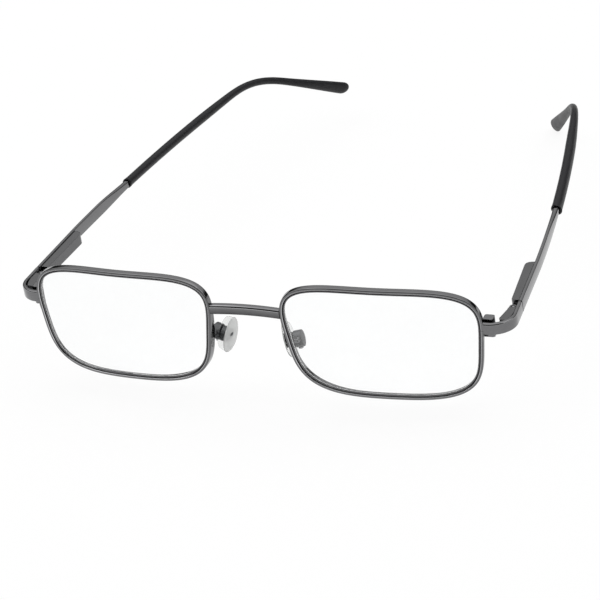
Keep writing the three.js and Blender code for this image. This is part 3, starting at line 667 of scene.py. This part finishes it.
def colour_setting(name, words, value):
    """Colour property."""
    return bpy.props.FloatVectorProperty(
        name=name, description=words, default=value, size=3, subtype="COLOR", min=0, max=1)


def share_setting(name, words, value):
    """Property between 0 and 1."""
    return bpy.props.FloatProperty(
        name=name, description=words, default=value, min=0, max=1, subtype="FACTOR")


def count_setting(name, words, value, least):
    """Whole number property."""
    return bpy.props.IntProperty(name=name, description=words, default=value, min=least)


class GlassesSizes(bpy.types.PropertyGroup):
    """Fine sizes that the scene adds to the frame."""
    rim_rounding: length_setting("Rim Rounding", "Radius of the rim's outer edges", 0.46)
    bar_rounding: length_setting("Bar Rounding", "Radius of the edges of bridge, endpieces and temples", 0.2)
    fitting_bevel: length_setting("Fitting Bevel", "Rounded edge of locks, hinges and boxes", 0.12)
    screw_bevel: length_setting("Screw Bevel", "Rounded edge of screws and small hinge pieces", 0.04)
    rim_stations: count_setting("Rim Stations", "Stations round each rim", 220, 60)
    sleeve_sides: count_setting("Sleeve Sides", "Points round each ear sleeve", 40, 12)


class GlassesColours(bpy.types.PropertyGroup):
    """Colours and gloss of the finishes."""
    frame_metal: colour_setting(
        "Frame Metal", "Gunmetal plating of rims, bridge and temples", (0.172, 0.172, 0.176))
    hinge_metal: colour_setting("Hinge Metal", "Plating of hinge blocks and boxes", (0.125, 0.125, 0.128))
    box_metal: colour_setting("Box Metal", "Dark satin plating of the pad boxes", (0.1, 0.102, 0.105))
    screw_metal: colour_setting("Screw Metal", "Bright steel of screws and springs", (0.42, 0.42, 0.43))
    sleeve: colour_setting("Ear Sleeve", "Near-black plastic of the ear sleeves", (0.011, 0.011, 0.013))
    pad: colour_setting("Pad Body", "Clear plastic of the pads", (0.8, 0.805, 0.8))
    pad_face: colour_setting("Pad Face", "Milky nose side of the pads", (0.8, 0.805, 0.8))
    lens: colour_setting("Lens", "Clear lens tint", (0.985, 0.99, 0.99))
    floor: colour_setting("Floor", "Pale floor", (0.9, 0.9, 0.9))
    metal_roughness: share_setting("Metal Roughness", "Roughness of the frame's plating", 0.1)
    sleeve_roughness: share_setting("Sleeve Roughness", "Roughness of the ear sleeves", 0.4)


def sizes():
    """The scene's fine sizes."""
    return bpy.context.scene.glasses_sizes


def colours():
    """The scene's colours and gloss."""
    return bpy.context.scene.glasses_colours


def mm(value):
    """Metres in millimetres."""
    return value * 1000


class GLASSES_OT_finishes(bpy.types.Operator):
    """Make the metal, plastic and glass finishes"""
    bl_idname = "glasses.finishes"
    bl_label = "Finishes"

    def execute(self, context):
        c = colours()
        polish_group()
        painted_shade_and_highlight_group()
        # The frame's plating shows the painted shade lines nearly at full strength; painted highlight lines
        # show on every piece that carries their weights
        metal_finish("Gunmetal plating", c.frame_metal, c.metal_roughness, line=0.97)
        metal_finish("Lock plating", c.frame_metal, c.metal_roughness, rounding=2.2e-4)
        metal_finish("Hinge plating", c.hinge_metal, c.metal_roughness * 1.2, rounding=2.6e-4)
        metal_finish("Box plating", c.box_metal, rough=0.5)
        metal_finish("Bright steel", c.screw_metal, rough=0.24, rounding=6e-5)
        sleeve_finish("Black sleeve", c.sleeve, c.sleeve_roughness)
        clear_finish("Clear pad", c.pad, rough=0.05, transmission=1.0, shadow=0.85, bend=1.06)
        clear_finish("Milky pad face", c.pad_face, rough=0.16, transmission=0.45, shadow=0.75, bend=1.3)
        clear_finish("Clear lens", c.lens, rough=0.005, transmission=1.0, shadow=0.95, bend=1.5)
        return {"FINISHED"}


class GLASSES_OT_rims(bpy.types.Operator):
    """Build both rims with their lens groove and lock slit"""
    bl_idname = "glasses.rims"
    bl_label = "Rims"

    def section(self, back, near_lock):
        w, d, m = RIM.width / 2, RIM.depth / 2, RIM.mouth
        edge, low = -w + RIM.ledge, -d + RIM.step
        wall, floor = RIM.wall, low + RIM.channel
        corners = [(-w, m), (-w, back), (w, back), (w, -d), (edge, -d), (edge - wall, floor),
                   (edge - 3 * wall, floor), (edge - 4 * wall, low), (-w, low), (-w, -m),
                   (-w + RIM.groove, 0)]
        soft, crease = mm(sizes().rim_rounding), RIM.crease
        front = mix(soft, RIM.lock_round, near_lock)
        radii = [crease, soft * RIM.back_share, soft, front, RIM.ledge_round, crease, crease, crease,
                 RIM.lip_round, crease, crease]
        return rounded(corners, radii, RIM_ARC)

    def execute(self, context):
        points, out, back = rim_frames(sizes().rim_stations)
        backs = rim_back(points[:, 0], points[:, 2])
        run = run_along(points)
        near_lock = 1 - smooth(RIM.lock_from, RIM.lock_to, np.minimum(run, run[-1] - run))
        rings = rings_along((points, out, back), lambda i: self.section(backs[i], near_lock[i]))
        # Painted shade at the rim's back and outer-front corners and in the channel on its front, painted
        # highlight along the channel's outer edge
        lines = corner_lines(RIM_PAINTED_SHADE, RIM_ARC) + np.repeat(CHANNEL_PAINTED_SHADE, RIM_ARC + 1)
        painted_highlight = corner_lines(RIM_PAINTED_HIGHLIGHT, RIM_ARC)
        for side in SIDES:
            piece(f"rim_band_{side}", rings, eye_place(side), "front", "frame_metal", "Gunmetal plating",
                  f"rim_{side}", lines=lines, painted_highlight=painted_highlight)
        return {"FINISHED"}


class GLASSES_OT_lenses(bpy.types.Operator):
    """Build both bevelled meniscus lenses"""
    bl_idname = "glasses.lenses"
    bl_label = "Lenses"

    def execute(self, context):
        shoulder = -RIM.width / 2 - SEAT
        apex = -RIM.width / 2 + RIM.groove - 2 * SEAT
        root = RIM.mouth * (apex - shoulder) / RIM.groove
        thick = {-1: LENS.edge_front, 1: LENS.edge_back}
        points, out, back = rim_frames(sizes().rim_stations)

        def edge(a, b):
            return points + out * a + back * b

        def face(sign, crown, size):
            rim = edge(shoulder, sign * thick[sign])
            x, z = rim[:, 0] * size, rim[:, 2] * size
            offset = rim[:, 1] - lens_mid(rim[:, 0], rim[:, 2])
            swell = 1 - size ** 2
            y = lens_mid(x, z) + offset * size ** 2 + sign * (thick[sign] + crown) * swell
            return np.stack([x, y, z], 1)

        rings = [face(-1, LENS.front, size) for size in LENS.rings]
        rings += [edge(shoulder, -thick[-1]), edge(shoulder, -root), edge(apex, 0)]
        rings += [edge(shoulder, root), edge(shoulder, thick[1])]
        rings += [face(1, LENS.back, size) for size in reversed(LENS.rings)]
        for side in SIDES:
            piece(f"lens_blank_{side}", rings, eye_place(side), "front", "lens", "Clear lens", f"lens_{side}")
        return {"FINISHED"}


class GLASSES_OT_bridge(bpy.types.Operator):
    """Build the flat-fronted bridge bar"""
    bl_idname = "glasses.bridge"
    bl_label = "Bridge"

    def execute(self, context):
        seat, out = rim_at_height(BRIDGE.level, True)
        foot = seat + out * (RIM.width / 2 + SEAT)
        front = foot[1] - RIM.depth / 2
        h, b, d = BRIDGE.height / 2, BRIDGE.bevel, BRIDGE.depth
        corners = [(0, -h + b), (0, h - b), (b, h), (d - b / 2, h), (d, h - b / 2),
                   (d, -h + b / 2), (d - b / 2, -h), (b, -h)]
        outline = rounded(corners, mm(sizes().bar_rounding), BRIDGE_ARC)
        lines = corner_lines(BRIDGE_PAINTED_SHADE, BRIDGE_ARC).reshape(len(corners), -1)
        # Painted shade along the bridge's lower front edge and its underside
        lines[0], lines[-1] = BRIDGE_LOWER_PAINTED_SHADE
        slope, depth_slope = out[2] / out[0], out[1] / out[0]
        y, z = outline[:, 0], outline[:, 1]
        reach = foot[0] - slope * z - depth_slope * (front + y - foot[1])
        rings = []
        for across in np.linspace(-1, 1, BRIDGE.stations):
            rise = BRIDGE.arch * (1 - across * across)
            rings.append(np.stack([across * reach, front + y, BRIDGE.level + z + rise], 1))
        piece("bridge_bar", rings, front_place("left"), "front", "frame_metal", "Gunmetal plating", "bridge",
              lines=lines.ravel(), painted_highlight=corner_lines(BRIDGE_PAINTED_HIGHLIGHT, BRIDGE_ARC))
        return {"FINISHED"}


class GLASSES_OT_endpieces(bpy.types.Operator):
    """Build the bent endpiece ribbons"""
    bl_idname = "glasses.endpieces"
    bl_label = "Endpieces"

    def execute(self, context):
        seat, out = rim_at_height(SLIT.height, False)
        inset = -RIM.depth / 2 + RIBBON.thickness / 2 + RIBBON.inset
        root = seat + out * (RIM.width / 2 - RIBBON.overlap) + LENS_BACK * inset
        first, final, radius = LENS.wrap, math.pi / 2 + TEMPLE.yaw, RIBBON.bend
        run = radius * (math.sin(final) - math.sin(first))
        depth = radius * (math.cos(first) - math.cos(final))
        slope = math.tan(TEMPLE.yaw)
        short = TEMPLE.start[0] - root[0] - run - (root[1] + depth - TEMPLE.start[1]) * slope
        lead = short / (math.cos(first) + math.sin(first) * slope)
        along = np.array([math.cos(first), math.sin(first), 0])
        bend_start = root + lead * along
        turns = np.linspace(first, final, RIBBON.bend_steps)
        bend = np.stack([np.sin(turns) - math.sin(first), math.cos(first) - np.cos(turns), 0 * turns], 1)
        bend = bend_start + radius * bend
        stop = TEMPLE.start - HINGE.butt * ALONG
        tail = np.linspace(RIBBON.tail_from, 1, RIBBON.tail_steps)[:, None]
        tail = bend[-1] + (stop - bend[-1]) * tail
        points = np.concatenate([[root, (root + bend_start) / 2], bend, tail])
        headings = np.array([first, first, *turns, *[final] * len(tail)])
        # The band rises evenly over the source's own steps
        first_step = 1 / RIBBON.source_steps
        last_step = 1 - first_step
        steps = np.concatenate([[0], np.linspace(first_step, last_step, len(turns) + 1),
                                np.linspace(last_step, 1, len(tail) + 1)[1:]])
        points[:, 2] = mix(SLIT.height + RIBBON.rise, TEMPLE.start[2], steps)
        outs = np.stack([np.sin(headings), -np.cos(headings), 0 * headings], 1)
        ups = np.tile([0.0, 0, 1], (len(points), 1))

        def section(i):
            height = mix(RIBBON.height, RIBBON.split, steps[i])
            bar = bevelled_bar(RIBBON.thickness, height, RIBBON.bevel)
            return rounded(bar, mm(sizes().bar_rounding), BAR_ARC)

        rings = rings_along((points, outs, ups), section)
        past = (rings[0] - root) @ out
        rings[0] = rings[0] - np.outer(past / (along @ out), along)
        rings = eased_ends(rings, END_EASE)
        for side in SIDES:
            piece(f"endpiece_band_{side}", rings, front_place(side), "front", "frame_metal",
                  "Gunmetal plating", f"endpiece_{side}", **BAR_PAINTED_LINES)
        return {"FINISHED"}


class GLASSES_OT_fittings(bpy.types.Operator):
    """Dress the rim locks and the screws of the front"""
    bl_idname = "glasses.fittings"
    bl_label = "Locks and Screws"

    def execute(self, context):
        for side in SIDES:
            for name in ("rim_lock_upper", "rim_lock_lower"):
                dress(f"{name}_{side}", "Lock plating", sizes().fitting_bevel)
            for name in ("rim_screw", "pad_screw"):
                dress(f"{name}_{side}", "Bright steel", sizes().screw_bevel)
        return {"FINISHED"}


class GLASSES_OT_hinges(bpy.types.Operator):
    """Dress the sprung hinges and wind their springs"""
    bl_idname = "glasses.hinges"
    bl_label = "Sprung Hinges"

    def spring(self):
        angle = np.linspace(0, SPRING.turns * 2 * math.pi, SPRING.turns * SPRING.steps + 1)
        out = np.stack([np.cos(angle), 0 * angle, np.sin(angle)], 1)
        points = out * SPRING.coil
        points[:, 1] = np.linspace(SPRING.start, SPRING.end, len(angle))
        frames = (points, out, np.cross(unit(np.gradient(points, axis=0)), out))
        return rings_along(frames, lambda i: oval(SPRING.wire, SPRING.wire, 0, SPRING.sides))

    def execute(self, context):
        for side in SIDES:
            for name in ("hinge_block", "spring_housing"):
                dress(f"{name}_{side}", "Hinge plating", sizes().fitting_bevel)
            for name in ("hinge_screw", "hinge_carriage", "rod_nut"):
                dress(f"{name}_{side}", "Bright steel", sizes().screw_bevel)
            coil = piece(f"spring_coil_{side}", self.spring(), hinge_place(side), f"carriage_{side}",
                         "screw_steel", "Bright steel", f"hinge_spring_{side}")
            ends = np.array([[0, SPRING.start, 0], [0, SPRING.end, 0]])
            front, nut = hinge_place(side)(ends) * MM
            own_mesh(coil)
        return {"FINISHED"}


class GLASSES_OT_temples(bpy.types.Operator):
    """Build the temple ribbons that gather to a neck, with the cores inside the sleeves"""
    bl_idname = "glasses.temples"
    bl_label = "Temples"

    def execute(self, context):
        neck = TIP.start + TEMPLE.neck_past
        core = np.linspace(neck + TEMPLE.core_step, TEMPLE.length - TEMPLE.core_short, 70)
        places = np.concatenate([np.linspace(0, neck, 80), core])

        def section(i):
            if places[i] > neck:
                bar = bevelled_bar(TEMPLE.core_thickness, TEMPLE.core_height, TEMPLE.core_bevel)
                return rounded(bar, TEMPLE.core_round, BAR_ARC)
            gathered = float(smooth(TEMPLE.neck_from, TEMPLE.neck_to, places[i]))
            thickness = mix(RIBBON.thickness, TEMPLE.neck_thickness, gathered)
            height = mix(RIBBON.split, TEMPLE.neck_height, gathered)
            bar = bevelled_bar(thickness, height, mix(RIBBON.bevel, TEMPLE.neck_bevel, gathered))
            soft = mix(mm(sizes().bar_rounding), TEMPLE.neck_round, gathered)
            return rounded(bar, soft, BAR_ARC)

        for side in SIDES:
            rings = rings_along(temple_frames(EAR[side], places), section)
            rings[0] = rings[0] - [0, TEMPLE.reach, 0]
            rings = eased_ends(rings, END_EASE)
            piece(f"temple_band_{side}", rings, hinge_place(side), f"arm_{side}", "frame_metal",
                  "Gunmetal plating", f"temple_{side}", **BAR_PAINTED_LINES)
        return {"FINISHED"}


class GLASSES_OT_sleeves(bpy.types.Operator):
    """Build the ear sleeves with open mouths and flat rounded ends"""
    bl_idname = "glasses.sleeves"
    bl_label = "Ear Sleeves"

    def outer(self, s, ear):
        bend, over = ear.start, ear.over
        lip = TIP.lip * (1 - smooth(TIP.start, TIP.start + TIP.lip_run, s))
        waist = smooth(bend - TIP.waist_lead, bend + over * TIP.waist_full, s)
        paddle = smooth(bend + over * TIP.paddle_from, TEMPLE.length + TIP.paddle_past, s)
        turn = smooth(bend + over * TIP.waist_full, bend + over * TIP.turn_full, s)
        end = max(0.0, s - (TEMPLE.length - TIP.round)) / TIP.round
        close = math.sqrt(max(1 - end * end, 1e-4))
        long = mix(mix(TIP.long, TIP.waist_long, waist), TIP.paddle, paddle) + lip
        short = mix(TIP.short, TIP.waist_short, waist) + lip
        cant = float(mix(TIP.cant, TIP.paddle_cant, turn))
        return oval(short * close, long * close, cant, sizes().sleeve_sides)

    def inner(self, s, mouth_end):
        half_u, half_v = TEMPLE.neck_thickness / 2, TEMPLE.neck_height / 2
        if s > mouth_end:
            half_u, half_v = TEMPLE.core_thickness / 2, TEMPLE.core_height / 2
        gap = TIP.bore_gap
        return soft_box(half_u + gap, half_v + gap, sizes().sleeve_sides, TIP.bore_power)

    def execute(self, context):
        start, stop, cap = TIP.start, TEMPLE.length, TIP.round
        mouth_end = start + TIP.mouth
        bore_end = stop - TEMPLE.core_short + TIP.bore_past
        bore = np.concatenate([np.linspace(bore_end, mouth_end + TEMPLE.core_step, 40),
                               np.linspace(mouth_end, start + TIP.lip_in, 4)])
        rounding = stop - cap * (1 - np.sin(np.linspace(0, 1, 12) * math.pi / 2))
        body = np.concatenate([[start + TIP.lip_out],
                               np.linspace(start + TIP.mouth_from, start + TIP.mouth_to, 12),
                               np.linspace(start + TIP.body_from, stop - cap, 90)[:-1], rounding])
        for side in SIDES:
            ear = EAR[side]
            rings = rings_along(temple_frames(ear, bore), lambda i: self.inner(bore[i], mouth_end))
            lip = self.outer(start, ear) * TIP.lip_share
            rings += rings_along(temple_frames(ear, [start]), lambda i: lip)
            rings += rings_along(temple_frames(ear, body), lambda i: self.outer(body[i], ear))
            piece(f"ear_sleeve_{side}", rings, hinge_place(side), f"arm_{side}", "tip_plastic",
                  "Black sleeve", f"temple_tip_{side}", sharp=60)
        return {"FINISHED"}


class GLASSES_OT_pads(bpy.types.Operator):
    """Build the pad wires, the pad boxes, the clear pads and the cores inside them"""
    bl_idname = "glasses.pads"
    bl_label = "Nose Pads"

    def wire(self):
        seat, _ = rim_at_height(PAD_ARM.level, True)
        rim_depth = rim_back(seat[0] - LENS.span, seat[2])
        start = seat + LENS_BACK * (rim_depth + SEAT)
        box_out, box_front = pad_axes()[0], -pad_axes()[1]
        middle = PAD.place + box_out * PAD_BOX.thickness * PAD_ARM.depth + [0, 0, PAD_ARM.lift]
        lead, entry = PAD_BOX.radius + PAD_ARM.lead, PAD_BOX.radius - PAD_ARM.entry
        knots = [start - LENS_BACK * PAD_ARM.foot, start + LENS_BACK * PAD_ARM.lead,
                 middle + box_front * lead, middle + box_front * entry]
        line = centripetal(np.array(knots), PAD_ARM.steps)
        along = unit(np.gradient(line, axis=0))
        out = unit(np.cross(along, [0, PAD_ARM.tilt, 1]))
        run = np.linspace(0, 1, len(line))
        flare = 1 - smooth(0, PAD_ARM.flare_end, run) + smooth(PAD_ARM.flare_start, 1, run)
        radius = PAD_ARM.radius * (1 + PAD_ARM.flare * flare)
        frames = (line, out, np.cross(along, out))
        return rings_along(frames, lambda i: oval(radius[i], radius[i], 0, PAD_ARM.sides))

    def box(self):
        deep, soft, sides = PAD_BOX.thickness, PAD_BOX.round, PAD_BOX.sides
        slot = soft_box(PAD_BOX.slot, 1.0, sides, PAD_BOX.slot_power)
        arc = np.linspace(math.pi / 2, 0, 6)
        low = [(soft * (1 - math.sin(a)), PAD_BOX.radius - soft * (1 - math.cos(a))) for a in arc]
        high = [(deep - x, r) for x, r in reversed(low)]
        rings = [(deep - PAD_BOX.slot_floor, slot), (0.0, slot)]
        rings += [(x, oval(r, r, 0, sides)) for x, r in low + high]
        return [np.column_stack([np.full(sides, x), ring]) for x, ring in rings]

    def layers(self, profile):
        fine = np.linspace(0, len(profile) - 1, 4 * len(profile) - 3)
        depth, spread = (np.interp(fine, np.arange(len(profile)), column) for column in zip(*profile))
        angle = full_turn(PAD.sides)
        rings = []
        for x, k in zip(depth, np.maximum(spread, PAD.point)):
            y = PAD.half_width * k * (1 - PAD.taper * np.sin(angle)) * np.cos(angle)
            z = PAD.half_height * k * np.sin(angle) + PAD.rise
            rings.append(np.stack([np.full_like(y, -PAD.clear - x * PAD.thickness), y, z], 1))
        return rings

    def core(self):
        face = -PAD.clear - PAD.thickness * PAD_CORE.face
        lug, end = PAD_BOX.lug, PAD_BOX.thickness - PAD_BOX.lug_short
        # Depth, half width, half height and rise of each ring, from the nose side to the box
        rows = [(face, 0.6, 0.42, 0.5), (face + 0.06, 0.7, 0.5, 0.5), (-2.1, 0.7, 0.5, 0.4),
                (-2.05, 1.5, 1.6, 0), (-1.93, 1.75, 1.85, 0), (-0.42, 1.85, 1.95, 0), (-0.33, 1.75, 1.85, 0),
                (-0.3, 0.9, 0.95, 0), (-0.25, lug, 0.8, 0), (end - 0.1, lug, 0.8, 0),
                (end, lug * 0.85, 0.68, 0)]
        rings, sides = [], PAD_CORE.sides
        for x, half_y, half_z, rise in rows:
            power = PAD_CORE.plug_power if half_y > 1 else PAD_CORE.lug_power
            ring = soft_box(half_y, half_z, sides, power)
            rings.append(np.column_stack([np.full(sides, x), ring[:, 0], ring[:, 1] + rise]))
        return rings

    def execute(self, context):
        for side in SIDES:
            piece(f"pad_wire_{side}", self.wire(), front_place(side), "front", "frame_metal",
                  "Gunmetal plating", f"pad_arm_{side}")
            piece(f"pad_cup_{side}", self.box(), pad_place(side), "front", "hinge_metal",
                  "Box plating", f"pad_box_{side}")
            piece(f"pad_dome_{side}", self.layers(PAD_FACE), pad_place(side), f"pad_{side}", "pad_clear",
                  "Milky pad face", f"nose_pad_{side}", sharp=50)
            piece(f"pad_body_{side}", self.layers(PAD_BODY), pad_place(side), f"pad_{side}", "pad_clear",
                  "Clear pad", sharp=50)
            piece(f"pad_core_{side}", self.core(), pad_place(side), f"pad_{side}", "hinge_metal",
                  "Box plating")
        return {"FINISHED"}


# Studio
CAMERA = SimpleNamespace(
    azimuth=0.438707, elevation=0.549801, roll=-0.168543, distance=1055.564,
    target=np.array([-0.96732, 34.71527, -11.28831]), focal=4002.43, image=600, sensor=36.0,
)
# Name, place, width and power of each lamp, and the point they are aimed at
LAMPS = (
    ("Overhead", (0.0, 0.05, 1.2), 1.8, 7.0),
    ("Left", (-0.9, -0.2, 0.9), 1.1, 4.0),
    ("Right", (1.0, 0.1, 0.7), 1.1, 4.0),
)
LAMP_AIM = (0, 0, 0.02)
FLOOR = SimpleNamespace(half=3.0, level=-5e-5, glow=0.885)
CLOTH = SimpleNamespace(radius=2.8, lift=0.48 * math.pi, rows=25, columns=48, far=-0.15, near=0.2)
# How much of the white room shows past the dark cloth by height, behind the glasses and round the camera
FAR_CLOTH = ((0.0, 0.0), (0.24, 0.03), (0.42, 0.8), (0.6, 0.95), (1.0, 1.0))
NEAR_CLOTH = ((0.0, 0.0), (0.7, 0.0), (0.84, 0.5), (0.95, 1.0), (1.0, 1.0))


def camera_matrix():
    """The camera's place, fitted on the front's frame and carried into the row frame."""
    a, e, r = CAMERA.azimuth, CAMERA.elevation, CAMERA.roll
    back = np.array([math.sin(a) * math.cos(e), -math.cos(a) * math.cos(e), math.sin(e)])
    right = unit(np.cross(-back, [0, 0, 1.0]))
    up = np.cross(right, -back)
    across = math.cos(r) * right + math.sin(r) * up
    above = math.cos(r) * up - math.sin(r) * right
    eye = turned_x(CAMERA.target + back * CAMERA.distance, PANTOSCOPIC) + SHIFT
    turn = np.array([turned_x(axis, PANTOSCOPIC) for axis in (across, above, back)]).T
    matrix = Matrix(turn.tolist()).to_4x4()
    matrix.translation = Vector(eye * MM)
    return matrix


def softbox(name, place, aim, size, power):
    """Square area lamp aimed at a point."""
    lamp = bpy.data.lights.new(name, "AREA")
    lamp.shape = "SQUARE"
    lamp.size = size
    lamp.energy = power
    made = placed(name, lamp)
    made.location = place
    made.rotation_euler = (Vector(aim) - Vector(place)).to_track_quat("-Z", "Y").to_euler()
    made.visible_camera = False


class GLASSES_OT_stage(bpy.types.Operator):
    """Set the pale floor, the soft studio light and the camera"""
    bl_idname = "glasses.stage"
    bl_label = "Stage"

    def backdrop(self, name, points, faces, material):
        mesh = bpy.data.meshes.new(name)
        mesh.from_pydata(points, [], faces)
        mesh.materials.append(bpy.data.materials[material])
        made = placed(name, mesh)
        return made

    def floor(self):
        floor_finish("Pale floor", colours().floor, FLOOR.glow)
        half, level = FLOOR.half, FLOOR.level
        corners = [(-half, -half, level), (half, -half, level), (half, half, level), (-half, half, level)]
        self.backdrop("floor", corners, [(0, 1, 2, 3)], "Pale floor")

    def heights(self, tree, height, levels):
        ramp = node(tree, "ValToRGB", {"Fac": height})
        stops = ramp.color_ramp.elements
        while len(stops) < len(levels):
            stops.new(0.5)
        for stop, (at, level) in zip(stops, levels):
            stop.position = at
            stop.color = grey(level)
        return ramp.outputs["Color"]

    def cloth_finish(self, name):
        tree, shader = new_finish(name)
        weave = tinted(tree, noise(tree, scale=60.0), grey(0.02), grey(0.04))
        feed(tree, shader, {"Base Color": weave, "Roughness": 1.0, "Specular IOR Level": 0.0})
        place = node(tree, "TexCoord").outputs["Object"]
        away = node(tree, "VectorMath", {0: place}, operation="NORMALIZE").outputs["Vector"]
        height = node(tree, "SeparateXYZ", {"Vector": away}).outputs["Z"]
        towards = (math.sin(CAMERA.azimuth), -math.cos(CAMERA.azimuth), 0)
        near = node(tree, "VectorMath", {0: away, 1: towards}, operation="DOT_PRODUCT").outputs["Value"]
        half = node(tree, "MapRange", {"Value": near, "From Min": CLOTH.far, "From Max": CLOTH.near},
                    interpolation_type="SMOOTHSTEP").outputs["Result"]
        bare = tinted(
            tree, half, self.heights(tree, height, FAR_CLOTH), self.heights(tree, height, NEAR_CLOTH))
        two_surfaces(tree, bare, shader, node(tree, "BsdfTransparent"))

    def cloth(self):
        self.cloth_finish("Dark cloth")
        lift = np.linspace(0, CLOTH.lift, CLOTH.rows)[:, None]
        turn = full_turn(CLOTH.columns)[None, :]
        dome = CLOTH.radius * np.stack(np.broadcast_arrays(
            np.cos(lift) * np.cos(turn), np.cos(lift) * np.sin(turn), np.sin(lift)), -1)
        faces = bands(CLOTH.rows, CLOTH.columns)
        made = self.backdrop("dark_cloth", dome.reshape(-1, 3).tolist(), faces, "Dark cloth")
        made.visible_camera = False
        made.visible_transmission = False

    def sky(self):
        world = bpy.data.worlds.new("White room")
        world.use_nodes = True
        room = world.node_tree.nodes["Background"]
        room.inputs["Color"].default_value = grey(1.0)
        room.inputs["Strength"].default_value = 1.0
        bpy.context.scene.world = world

    def execute(self, context):
        self.floor()
        self.cloth()
        self.sky()
        for name, place, width, power in LAMPS:
            softbox(name, place, LAMP_AIM, width, power)
        lens = bpy.data.cameras.new("Camera")
        lens.sensor_fit = "HORIZONTAL"
        lens.sensor_width = CAMERA.sensor
        lens.lens = CAMERA.focal / CAMERA.image * CAMERA.sensor
        lens.clip_start = 0.05
        lens.clip_end = 30.0
        camera = placed("Camera", lens)
        camera.matrix_world = camera_matrix()
        bpy.context.scene.camera = camera
        bpy.context.scene.view_settings.view_transform = "Standard"
        return {"FINISHED"}


class GLASSES_PT_panel(bpy.types.Panel):
    """Sizes, colours and building steps"""
    bl_idname = "GLASSES_PT_panel"
    bl_label = "Reading Glasses"
    bl_space_type = "VIEW_3D"
    bl_region_type = "UI"
    bl_category = "Glasses"

    def draw(self, context):
        for group in (context.scene.glasses_sizes, context.scene.glasses_colours):
            box = self.layout.box()
            for name in group.bl_rna.properties.keys():
                if name not in ("rna_type", "name"):
                    box.prop(group, name)
        for operator in OPERATORS:
            self.layout.operator(operator.bl_idname)


OPERATORS = (
    GLASSES_OT_finishes, GLASSES_OT_rims, GLASSES_OT_lenses, GLASSES_OT_bridge, GLASSES_OT_endpieces,
    GLASSES_OT_fittings, GLASSES_OT_hinges, GLASSES_OT_temples, GLASSES_OT_sleeves, GLASSES_OT_pads,
    GLASSES_OT_stage,
)
CLASSES = (GlassesSizes, GlassesColours, *OPERATORS, GLASSES_PT_panel)


def register():
    for item in CLASSES:
        bpy.utils.register_class(item)
    bpy.types.Scene.glasses_sizes = bpy.props.PointerProperty(type=GlassesSizes)
    bpy.types.Scene.glasses_colours = bpy.props.PointerProperty(type=GlassesColours)


def unregister():
    del bpy.types.Scene.glasses_colours
    del bpy.types.Scene.glasses_sizes
    for item in reversed(CLASSES):
        bpy.utils.unregister_class(item)


def main():
    register()
    bpy.ops.glasses.finishes()
    bpy.ops.glasses.rims()
    bpy.ops.glasses.lenses()
    bpy.ops.glasses.bridge()
    bpy.ops.glasses.endpieces()
    bpy.ops.glasses.fittings()
    bpy.ops.glasses.hinges()
    bpy.ops.glasses.temples()
    bpy.ops.glasses.sleeves()
    bpy.ops.glasses.pads()
    bpy.ops.glasses.stage()
    bpy.context.view_layer.update()


if __name__ == "__main__":
    main()
